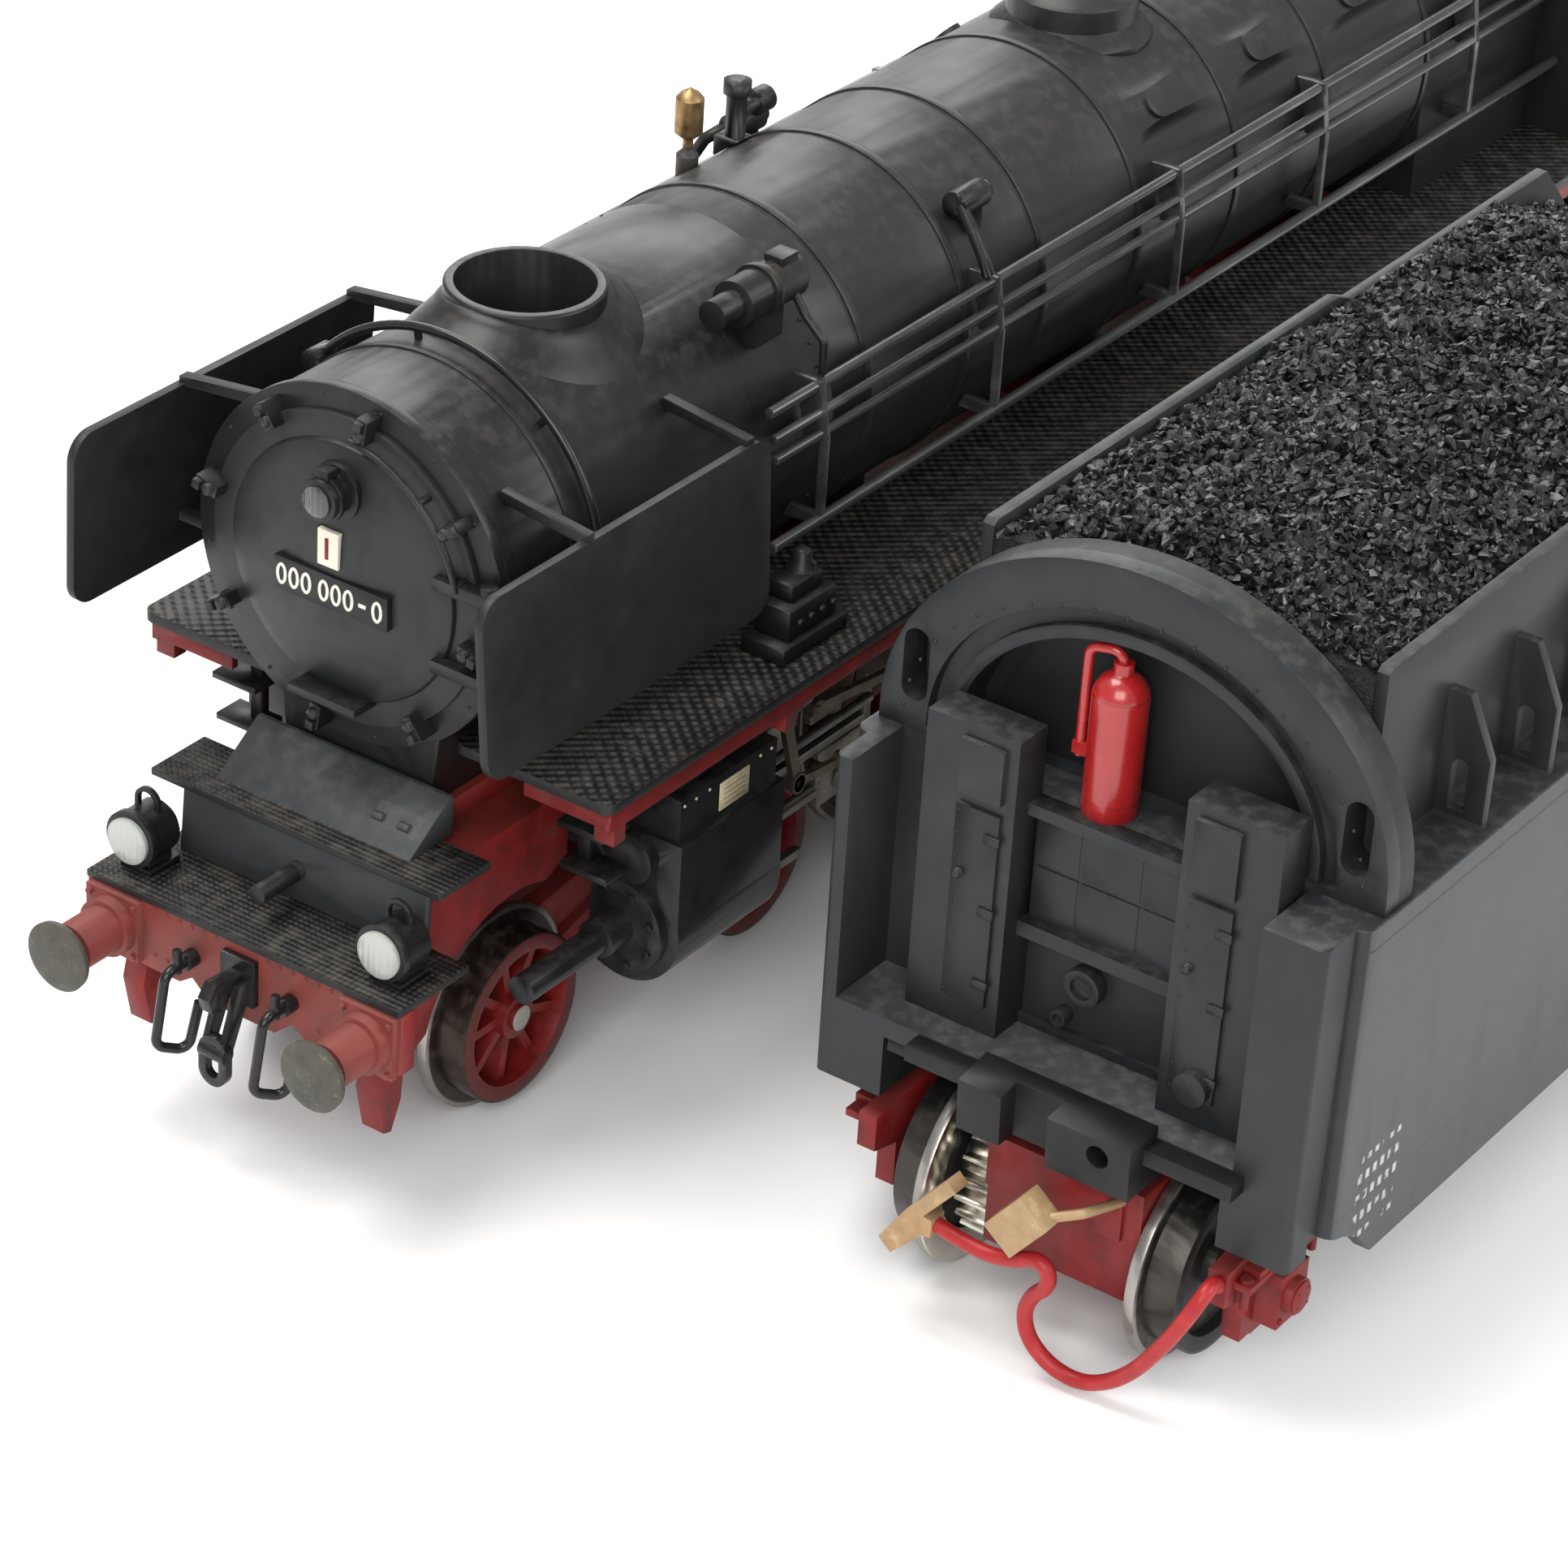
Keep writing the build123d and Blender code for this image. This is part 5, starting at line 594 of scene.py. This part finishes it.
def frame_at(place, axis):
    """Matrix that puts local Z along axis at a place given in millimetres."""
    q = Vector(axis).normalized().to_track_quat("Z", "Y")
    return Matrix.Translation(Vector(place) * MM) @ q.to_matrix().to_4x4()


def lathe(bm, profile, place, axis, steps=24):
    """Adds a turned shape: profile is (radius, height) pairs in millimetres."""
    m = frame_at(place, axis)
    rings = []
    for r, h in profile:
        if r < 1e-6:
            rings.append([bm.verts.new(m @ Vector((0, 0, h * MM)))])
            continue
        rings.append([bm.verts.new(m @ Vector((r * MM * math.cos(2 * math.pi * k / steps),
                                               r * MM * math.sin(2 * math.pi * k / steps), h * MM)))
                      for k in range(steps)])
    for a, b in zip(rings, rings[1:]):
        for k in range(steps):
            j = (k + 1) % steps
            if len(a) == 1 and len(b) == 1:
                continue
            if len(a) == 1:
                bm.faces.new((a[0], b[k], b[j]))
            elif len(b) == 1:
                bm.faces.new((a[k], a[j], b[0]))
            else:
                bm.faces.new((a[k], a[j], b[j], b[k]))


def bolt(bm, place, axis, r, h):
    """A six-sided bolt head with a chamfered top."""
    lathe(bm, ((0, 0), (r, 0), (r, h * 0.75), (r * 0.72, h), (0, h)), place, axis, 6)


def rivet(bm, place, axis, r):
    """A low domed rivet head."""
    lathe(bm, ((r, -0.02), (r, 0.02), (r * 0.8, r * 0.5), (r * 0.4, r * 0.72), (0, r * 0.8)), place,
          axis, 8)


def tube(bm, points, r):
    """A round bar along points, in millimetres, with smooth bends."""
    c = bpy.data.curves.new("tube", "CURVE")
    c.dimensions = "3D"
    c.bevel_depth = r * MM
    c.bevel_resolution = 3
    c.resolution_u = 8
    c.use_fill_caps = True
    s = c.splines.new("NURBS")
    s.points.add(len(points) - 1)
    for q, place in zip(s.points, points):
        q.co = (*(v * MM for v in place), 1)
    s.order_u = 3
    s.use_endpoint_u = True
    o = bpy.data.objects.new("tube", c)
    bpy.context.scene.collection.objects.link(o)
    bpy.context.view_layer.update()
    mesh = bpy.data.meshes.new_from_object(o)
    bm.from_mesh(mesh)
    bpy.data.objects.remove(o)
    bpy.data.meshes.remove(mesh)
    bpy.data.curves.remove(c)


def cuboid(bm, lo, hi, chamfer):
    """A box between two corners in millimetres, its edges chamfered."""
    made = bmesh.ops.create_cube(bm, size=1.0)
    size = Vector(hi) - Vector(lo)
    centre = (Vector(hi) + Vector(lo)) / 2
    for v in made["verts"]:
        v.co = Vector((v.co.x * size.x + centre.x, v.co.y * size.y + centre.y,
                       v.co.z * size.z + centre.z)) * MM
    edges = list({e for v in made["verts"] for e in v.link_edges})
    bmesh.ops.bevel(bm, geom=edges, offset=min(chamfer, min(size) * 0.3) * MM, segments=1,
                    affect="EDGES")


def flank(bm, side, x, y, z, chamfer):
    """A cuboid on one side of the locomotive: y runs outwards from its middle plane."""
    y0, y1 = sorted((side * y[0], side * y[1]))
    cuboid(bm, (x[0], y0, z[0]), (x[1], y1, z[1]), chamfer)


# --------------------------------------------------------------------------- coal
p = Paint("coal", (0.010, 0.010, 0.010), 0.34)
p.tone((0.004, 0.004, 0.004), (0.035, 0.035, 0.036), 0.9, 3)
# painted highlights: small patches of the coal are painted lighter and glossier, as glints
p.over(p.ramp(p.noise(0.8, 2), 0.60, 0.66), color=(0.07, 0.068, 0.066), rough=0.22, amount=0.6)
p.uneven(0.25, 1.5).bump(p.noise(2.5, 3), 0.5, 0.12)
m_coal = p.done()
# The heap's surface: a crown that falls in two slopes to the sides, cut by a slope at each end.
CROWN_Z, CROWN_HALF, CROWN_FALL = 47.0, 3.5, 0.8 / 5.5
SHOULDER_Z, SHOULDER_HALF, SHOULDER_FALL = 46.2, 9.0, 1.3 / 3.8
FRONT_X, FRONT_Z, FRONT_RISE = 61.6, 45.2, 2.8 / 7.1
BACK_X, BACK_Z, BACK_RISE = -10.0, 40.6, 7.4 / 20
COAL_HALF_WIDTH, COAL_END_GAP = 12.45, 0.35
CHUNK_SIZES = (0.30, 0.36, 0.42, 0.48, 0.55, 0.66)
CHUNK_SHAPES, CHUNK_POINTS = 18, 10
CHUNKS, CHUNKS_QUICK = 15000, 7000


def coal_top(x, y):
    """Height of the CAD heap's surface, in millimetres."""
    d = abs(y - TENDER_Y)
    if d < CROWN_HALF:
        z = CROWN_Z
    elif d < SHOULDER_HALF:
        z = CROWN_Z - (d - CROWN_HALF) * CROWN_FALL
    else:
        z = SHOULDER_Z - (d - SHOULDER_HALF) * SHOULDER_FALL
    front = FRONT_Z + (FRONT_X - x) * FRONT_RISE
    back = BACK_Z + (x - BACK_X) * BACK_RISE
    return min(z, front, back)


rng = random.Random(7)
chunk_shapes = []
for k in range(CHUNK_SHAPES):
    one = bmesh.new()
    for j in range(CHUNK_POINTS):
        v = Vector((rng.uniform(-1, 1), rng.uniform(-1, 1), rng.uniform(-1, 1)))
        one.verts.new(v.normalized() * rng.uniform(0.75, 1.0))
    hull = bmesh.ops.convex_hull(one, input=one.verts)
    inside = [g for g in hull["geom_interior"] if isinstance(g, bmesh.types.BMVert)]
    if inside:
        bmesh.ops.delete(one, geom=inside, context="VERTS")
    one.verts.index_update()
    chunk_shapes.append(([v.co.copy() for v in one.verts],
                         [[v.index for v in f.verts] for f in one.faces]))
    one.free()
lo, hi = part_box("coal_load")
x0, x1 = lo[0] / MM + COAL_END_GAP, hi[0] / MM - COAL_END_GAP
verts, faces = [], []
for k in range(CHUNKS):
    x = rng.uniform(x0, x1)
    y = rng.uniform(TENDER_Y - COAL_HALF_WIDTH, TENDER_Y + COAL_HALF_WIDTH)
    heap = 0.45 * math.sin(x * 0.33 + 1.0) * math.cos(y * 0.41) + 0.3 * math.sin(x * 0.9 + y * 0.7)
    z = coal_top(x, y) + max(heap, -0.1) * 0.7 + rng.uniform(-0.1, 0.45)
    size = rng.choice(CHUNK_SIZES)
    shape, shape_faces = rng.choice(chunk_shapes)
    turn = Matrix.Rotation(rng.uniform(0, 6.28), 3, (rng.uniform(-1, 1), rng.uniform(-1, 1), 1))
    stretch = Vector((rng.uniform(0.7, 1.3), rng.uniform(0.7, 1.2), rng.uniform(0.5, 0.9)))
    first = len(verts)
    verts.extend((turn @ (q * stretch) * size + Vector((x, y, z))) * MM for q in shape)
    faces.extend([first + i for i in f] for f in shape_faces)
mesh = bpy.data.meshes.new("coal_chunks")
mesh.from_pydata(verts, [], faces)
bm = bmesh.new()
bm.from_mesh(mesh)
bpy.data.meshes.remove(mesh)
piece("coal_chunks", bm, m_coal, "tender", smooth=False)


# --------------------------------------------------------------------------- front details
def glyph(bm, x, y, z, w, h, t, steps=16):
    """A raised oval ring, w by h and t thick in its face, that stands in for one painted figure."""
    rings = []
    for inset, depth in ((0, 0), (0, 0.07), (t, 0.07), (t, 0)):
        a, b = w / 2 - inset, h / 2 - inset
        rings.append([bm.verts.new(Vector((x + depth, y + a * math.cos(2 * math.pi * j / steps),
                                           z + b * math.sin(2 * math.pi * j / steps))) * MM)
                      for j in range(steps)])
    for ra, rb in zip(rings, rings[1:]):
        for j in range(steps):
            i = (j + 1) % steps
            bm.faces.new((ra[j], ra[i], rb[i], rb[j]))


# painted figures, the cylinders' labels with blank ruled lines, and bronze links
p = Paint("figure_white", (0.70, 0.68, 0.60), 0.5)
p.tone((0.50, 0.48, 0.42), (0.80, 0.78, 0.70), 2.0, amount=0.6)
m_white = p.grain(8, 0.1).done()
p = Paint("label_cream", (0.55, 0.47, 0.30), 0.5)
p.tone((0.40, 0.33, 0.20), (0.64, 0.56, 0.38), 1.5, amount=0.6)
lines = p.ramp(p.waves(p.z, 0.36), 0.1, 0.5)
p.over(p.times(lines, p.box(x=(58.6, 60.9), z=(19.0, 20.6))), color=(0.10, 0.07, 0.05), amount=0.55)
m_cream = p.grain(8, 0.1).done()
p = Paint("bronze_links", (0.15, 0.125, 0.085), 0.40, 0.8)
p.tone((0.075, 0.060, 0.040), (0.26, 0.23, 0.17), 0.8, 5, amount=0.8)
m_bronze = p.uneven(0.12).grain(8, 0.12).done()

# a generic number of noughts with a dash on the lower plate, and a bar on the upper one
FIGURE_SIZE, FIGURE_STROKE, FIGURE_Z = (0.80, 1.45), 0.19, 35.7
FORWARD = (1, 0, 0)
bm = bmesh.new()
for y in (-3.6, -2.65, -1.7, -0.35, 0.6, 1.55, 3.75):
    glyph(bm, PLATE_X, y, FIGURE_Z, *FIGURE_SIZE, FIGURE_STROKE)
cuboid(bm, (PLATE_X - 0.02, 2.35, 35.58), (PLATE_X + 0.07, 2.9, 35.82), 0.01)
piece("plate_figures", bm, m_white, "loco")
bm = bmesh.new()
cuboid(bm, (PLATE_X - 0.02, -0.27, 37.9), (PLATE_X + 0.07, -0.03, 39.3), 0.01)
piece("plate_bar", bm, m_red, "loco")

# clamp nuts of the smokebox door, and the rivets of the ring round it
NUT_CIRCLE, NUT_X, NUT_ANGLES = 10.1, 78.5, (35, 80, 122, 166, 210, 262, 306, 350)
RING_CIRCLE, RING_X, RING_RIVETS = 11.2, 77.1, 16


def on_circle(x, r, a):
    """Place at an angle on a circle about the boiler's axis."""
    return x, r * math.cos(a), BOILER_Z + r * math.sin(a)


bm = bmesh.new()
for angle in NUT_ANGLES:
    bolt(bm, on_circle(NUT_X, NUT_CIRCLE, math.radians(angle)), FORWARD, 0.42, 0.45)
for k in range(RING_RIVETS):
    rivet(bm, on_circle(RING_X, RING_CIRCLE, 2 * math.pi * (k + 0.5) / RING_RIVETS), FORWARD, 0.12)
piece("door_rivets", bm, m_door, "loco")

# smooth flare of the chimney over the round smokebox
# (radius about the chimney's axis, lift above the smokebox)
FLARE = ((5.04, 1.32), (5.2, 1.30), (5.42, 1.24), (5.62, 1.02), (5.92, 0.80), (6.3, 0.58),
         (6.72, 0.39), (7.1, 0.18), (7.35, 0.0))
FLARE_STEPS = 64
bm = bmesh.new()
rings = []
for r, lift in FLARE:
    ring = []
    for k in range(FLARE_STEPS):
        a = 2 * math.pi * k / FLARE_STEPS
        y = r * math.sin(a)
        z = BOILER_Z + math.sqrt((SMOKEBOX_R + lift) ** 2 - y * y)
        ring.append(bm.verts.new(Vector((CHIMNEY_X + r * math.cos(a), y, z)) * MM))
    rings.append(ring)
for ra, rb in zip(rings, rings[1:]):
    for k in range(FLARE_STEPS):
        j = (k + 1) % FLARE_STEPS
        bm.faces.new((ra[k], rb[k], rb[j], ra[j]))
bmesh.ops.recalc_face_normals(bm, faces=bm.faces)
piece("chimney_flare", bm, m_smokebox, "loco")

# two rows of rivets on the buffer beam, left out behind the buffers, the coupling and the hoses
UPPER_ROW, LOWER_ROW = 14.1, 10.75
bm = bmesh.new()
for y in range(-12, 13):
    for z in (UPPER_ROW, LOWER_ROW):
        behind_buffer = abs(abs(y) - BUFFER_Y) < 2.3
        behind_hose = z == LOWER_ROW and abs(abs(y) - HOSE_Y) < 1.6
        if not (behind_buffer or behind_hose or abs(y) < 1.6):
            rivet(bm, (BEAM_FACE_X, y, z), FORWARD, 0.15)
piece("beam_rivets", bm, m_beam, "loco")

# a hoop of rivets round the smokebox's rear edge, open at the top
HOOP_X, HOOP_RIVETS, HOOP_FROM, HOOP_TO = 43.8, 30, -25, 205
bm = bmesh.new()
for k in range(HOOP_RIVETS):
    angle = HOOP_FROM + k * (HOOP_TO - HOOP_FROM) / (HOOP_RIVETS - 1)
    if not 60 < angle < 120:
        a = math.radians(angle)
        rivet(bm, on_circle(HOOP_X, SMOKEBOX_R, a), (0, math.cos(a), math.sin(a)), 0.13)
piece("smokebox_rivets", bm, m_smokebox, "loco")

# plain builder's labels on both cylinders, and rivets beside them
bm = bmesh.new()
for s in SIDES:
    flank(bm, s, (58.2, 61.3), (16.85, 16.98), (18.8, 20.8), 0.03)
    for x in (55.8, 57.0, 62.4, 63.8, 65.0):
        rivet(bm, (x, s * 16.9, 20.9), (0, s, 0), 0.12)
piece("cylinder_label", bm, m_cream, "loco")

# cab glazing, and the bar and sill of each side window
PANE_FOOT, PANE_HEAD = 33.6, 38.9
m_glass = Paint("cab_glass", (0.03, 0.034, 0.036), 0.08, coat=0.5).uneven(0.05, 0.8).done()
bm = bmesh.new()
for s in SIDES:
    flank(bm, s, (-66.4, -60.6), (16.35, 16.65), (PANE_FOOT, PANE_HEAD), 0.02)
piece("cab_glazing", bm, m_glass, "loco")
bm = bmesh.new()
for s in SIDES:
    flank(bm, s, (-63.7, -63.3), (16.3, 16.9), (PANE_FOOT, PANE_HEAD), 0.03)
    flank(bm, s, (-66.5, -60.5), (16.3, 16.9), (PANE_FOOT - 0.1, PANE_FOOT + 0.3), 0.03)
piece("cab_window_bars", bm, m_black, "loco")

# pump with its lubricator on the left running board, and a plain box on the right one
BOARD_TOP = 26.0
UP, LEFT, RIGHT = (0, 0, 1), (0, 1, 0), (0, -1, 0)
LUBRICATOR = ((0, 0), (0.9, 0), (0.9, 0.5), (0.6, 0.7), (0.6, 1.3), (0.3, 1.5), (0, 1.5))
bm = bmesh.new()
cuboid(bm, (47.6, 13.2, BOARD_TOP), (54.6, 16.6, 27.2), 0.12)
cuboid(bm, (48.4, 13.4, 27.2), (53.6, 16.2, 29.4), 0.15)
cuboid(bm, (49.2, 13.6, 29.4), (52.6, 15.6, 30.6), 0.15)
lathe(bm, LUBRICATOR, (50.2, 14.6, 30.6), UP, 20)
for x in (48.9, 50.1, 51.3, 52.5):
    bolt(bm, (x, 16.2, 28.3), LEFT, 0.25, 0.25)
cuboid(bm, (30.0, -16.4, BOARD_TOP), (36.0, -13.6, 28.8), 0.15)
for x in (31.0, 33.0, 35.0):
    bolt(bm, (x, -16.4, 27.6), RIGHT, 0.25, 0.25)
piece("board_boxes", bm, m_black, "loco")

# axle box covers with their bolts, spring buckles and hangers, on the tender bogies
COVER = ((0, 0), (1.05, 0), (1.05, 0.14), (0.8, 0.22), (0.4, 0.28), (0, 0.3))
COVER_BOLT_CIRCLE = 0.72
HANGER = ((0.28, -1.0), (0.28, 0.9), (0.42, 0.95), (0.42, 1.25), (0, 1.3))
for body, axles in BOGIE_AXLES.items():
    bm = bmesh.new()
    for x in axles:
        for s in SIDES:
            out = (0, s, 0)
            y = TENDER_Y + s * 15.1
            lathe(bm, COVER, (x, y, TENDER_AXLE_Z), out, 24)
            for k in range(4):
                a = math.radians(45 + 90 * k)
                bolt(bm, (x + COVER_BOLT_CIRCLE * math.cos(a), y + s * 0.14,
                          TENDER_AXLE_Z + COVER_BOLT_CIRCLE * math.sin(a)), out, 0.13, 0.14)
            y0, y1 = sorted((TENDER_Y + s * 13.9, TENDER_Y + s * 14.5))
            cuboid(bm, (x - 0.45, y0, 7.7), (x + 0.45, y1, 9.8), 0.06)
            for dx in (-3.9, 3.9):
                lathe(bm, HANGER, (x + dx, TENDER_Y + s * 13.5, 7.4), UP, 12)
            for dx in (-1.3, 1.3):
                bolt(bm, (x + dx, TENDER_Y + s * 14.6, 4.5), out, 0.2, 0.22)
    bmesh.ops.recalc_face_normals(bm, faces=bm.faces)
    piece(body + "_details", bm, m_red, body, smooth=False)

# combination lever, radius rod and union link, and the valve guides, outside the slide bars
LINKS = (((53.4, 22.6), (51.4, 16.0), 0.42),    # (x, z) of both ends, and half the width
         ((49.8, 20.8), (36.0, 18.9), 0.34),
         ((51.4, 16.0), (46.4, 15.4), 0.30))
GUIDE_BOLTS = ((46.9, 20.0), (48.9, 20.0), (46.9, 23.6), (48.9, 23.6), (51.2, 22.4), (53.0, 23.4))


def link(bm, side, start, end, w):
    """A flat bar between two (x, z) places, with an eye on each end."""
    y0, y1 = sorted((side * 15.75, side * 16.2))
    a, b = Vector((start[0], 0, start[1])), Vector((end[0], 0, end[1]))
    along = b - a
    across = Vector((-along.z, 0, along.x)).normalized() * w
    corners = [a - across, a + across, b + across, b - across]
    near = [bm.verts.new((c + Vector((0, y0, 0))) * MM) for c in corners]
    far = [bm.verts.new((c + Vector((0, y1, 0))) * MM) for c in corners]
    bm.faces.new(near)
    bm.faces.new(far[::-1])
    for k in range(4):
        bm.faces.new((near[k], far[k], far[(k + 1) % 4], near[(k + 1) % 4]))
    eye = ((0, 0), (w + 0.3, 0), (w + 0.3, 0.65), (0.3, 0.65), (0.3, 0.8), (0, 0.8))
    for x, z in (start, end):
        lathe(bm, eye, (x, side * 15.65, z), (0, side, 0), 18)


bm = bmesh.new()
for s in SIDES:
    for start, end, w in LINKS:
        link(bm, s, start, end, w)
    flank(bm, s, (46.2, 49.6), (14.9, 15.7), (19.2, 24.4), 0.1)
    flank(bm, s, (50.4, 53.8), (14.9, 15.7), (20.9, 24.0), 0.1)
    for x, z in GUIDE_BOLTS:
        bolt(bm, (x, s * 15.7, z), (0, s, 0), 0.2, 0.2)
bmesh.ops.recalc_face_normals(bm, faces=bm.faces)
piece("valve_gear_links", bm, m_bronze, "loco", smooth=False)

# steps with their hanger and two bent pipes ahead of each cylinder, and a clipped pipe along
# each running board
PIPE_Y, PIPE_Z, CLIP_PITCH = 16.9, 24.7, 10
bm = bmesh.new()
for s in SIDES:
    flank(bm, s, (69.4, 70.2), (12.6, 13.6), (17.6, 25.2), 0.1)
    flank(bm, s, (68.8, 71.6), (12.0, 15.6), (20.6, 21.1), 0.08)
    flank(bm, s, (68.8, 71.2), (12.0, 15.6), (17.4, 17.9), 0.08)
    tube(bm, ((67.4, s * 12.4, 19.4), (68.2, s * 12.4, 22.0), (68.6, s * 11.0, 24.0),
              (68.6, s * 9.6, 25.2)), 0.35)
    tube(bm, ((66.2, s * 14.6, 21.9), (70.0, s * 14.9, 22.0), (72.6, s * 14.4, 23.2),
              (73.0, s * 13.6, 25.2)), 0.3)
    tube(bm, [(x, s * PIPE_Y, PIPE_Z) for x in (-40, -4, 40, 44.5)], 0.32)
    for x in range(-36, 45, CLIP_PITCH):
        flank(bm, s, (x - 0.3, x + 0.3), (16.4, 17.3), (24.3, 25.3), 0.05)
bmesh.ops.recalc_face_normals(bm, faces=bm.faces)
piece("steps_and_pipes", bm, m_black, "loco")

# hinges, knobs and edge rivets of the lockers on the tender front, and rivets round its arch
LOCKER_X, LOCKER_FOOT, LOCKER_HEAD = 68.7, 18.4, 31.6
LOCKER_MIDDLE = (LOCKER_FOOT + LOCKER_HEAD) / 2
KNOB = ((0, 0), (0.32, 0), (0.32, 0.3), (0.2, 0.42), (0, 0.42))
EDGE_RIVETS = 9
ARCH_RIVETS, ARCH_X, ARCH_Z, ARCH_HALF_WIDTH, ARCH_RISE = 22, 65.5, 33.6, 15.6, 11.9
bm = bmesh.new()
for y0, y1 in ((54.4, 57.4), (38.6, 41.6)):
    for z in (LOCKER_FOOT + 1.6, LOCKER_MIDDLE, LOCKER_HEAD - 1.6):
        cuboid(bm, (LOCKER_X, y1 - 0.9, z - 0.3), (LOCKER_X + 0.22, y1 + 0.2, z + 0.3), 0.05)
        rivet(bm, (LOCKER_X + 0.2, y1 - 0.55, z), FORWARD, 0.1)
    lathe(bm, KNOB, (LOCKER_X, y0 + 0.5, LOCKER_MIDDLE + 2), FORWARD, 14)
    pitch = (LOCKER_HEAD - LOCKER_FOOT - 0.8) / (EDGE_RIVETS - 1)
    for k in range(EDGE_RIVETS):
        rivet(bm, (LOCKER_X, y0 + 0.2, LOCKER_FOOT + 0.4 + k * pitch), FORWARD, 0.09)
for k in range(ARCH_RIVETS):
    a = math.pi * (k + 0.5) / ARCH_RIVETS
    rivet(bm, (ARCH_X, TENDER_Y + ARCH_HALF_WIDTH * math.cos(a), ARCH_Z + ARCH_RISE * math.sin(a)),
          FORWARD, 0.13)
piece("locker_fittings", bm, m_bulkhead, "tender")

# --------------------------------------------------------------------------- light and floor
world = bpy.data.worlds.new("studio")
bpy.context.scene.world = world
world.use_nodes = True
background = world.node_tree.nodes["Background"]
background.inputs["Color"].default_value = (0.96, 0.98, 1.0, 1)
background.inputs["Strength"].default_value = 0.55


def lamp(name, place, target, size, power, color):
    """A soft rectangular light at a place, turned to a target."""
    d = bpy.data.lights.new(name, "AREA")
    d.shape = "RECTANGLE"
    d.size, d.size_y = size
    d.energy = power
    d.color = color
    o = bpy.data.objects.new(name, d)
    bpy.context.scene.collection.objects.link(o)
    o.location = place
    o.rotation_mode = "QUATERNION"
    o.rotation_quaternion = (Vector(target) - Vector(place)).to_track_quat("-Z", "Y")


lamp("key", (0.10, -0.20, 0.65), (0.0, 0.02, 0.02), (0.5, 0.35), 5.2, (1.0, 0.985, 0.96))
lamp("front", (0.62, 0.30, 0.42), (0.03, 0.02, 0.02), (0.5, 0.4), 3.8, (1.0, 0.99, 0.97))
lamp("left", (-0.15, 0.62, 0.38), (0.0, 0.03, 0.02), (0.45, 0.35), 2.6, (0.95, 0.98, 1.0))
lamp("back", (-0.45, -0.35, 0.35), (0.0, 0.0, 0.02), (0.4, 0.4), 1.8, (1.0, 1.0, 1.0))

# pale floor, level with the wheel flanges
FLOOR_Z = -1.1
bm = bmesh.new()
bmesh.ops.create_grid(bm, x_segments=4, y_segments=4, size=3.0)
mesh = bpy.data.meshes.new("floor")
bm.to_mesh(mesh)
bm.free()
floor = bpy.data.objects.new("floor", mesh)
bpy.context.scene.collection.objects.link(floor)
floor.location.z = FLOOR_Z * MM
mesh.materials.append(Paint("floor_paper", (0.86, 0.86, 0.86), 0.75).grain(0.4, 0.03).done())
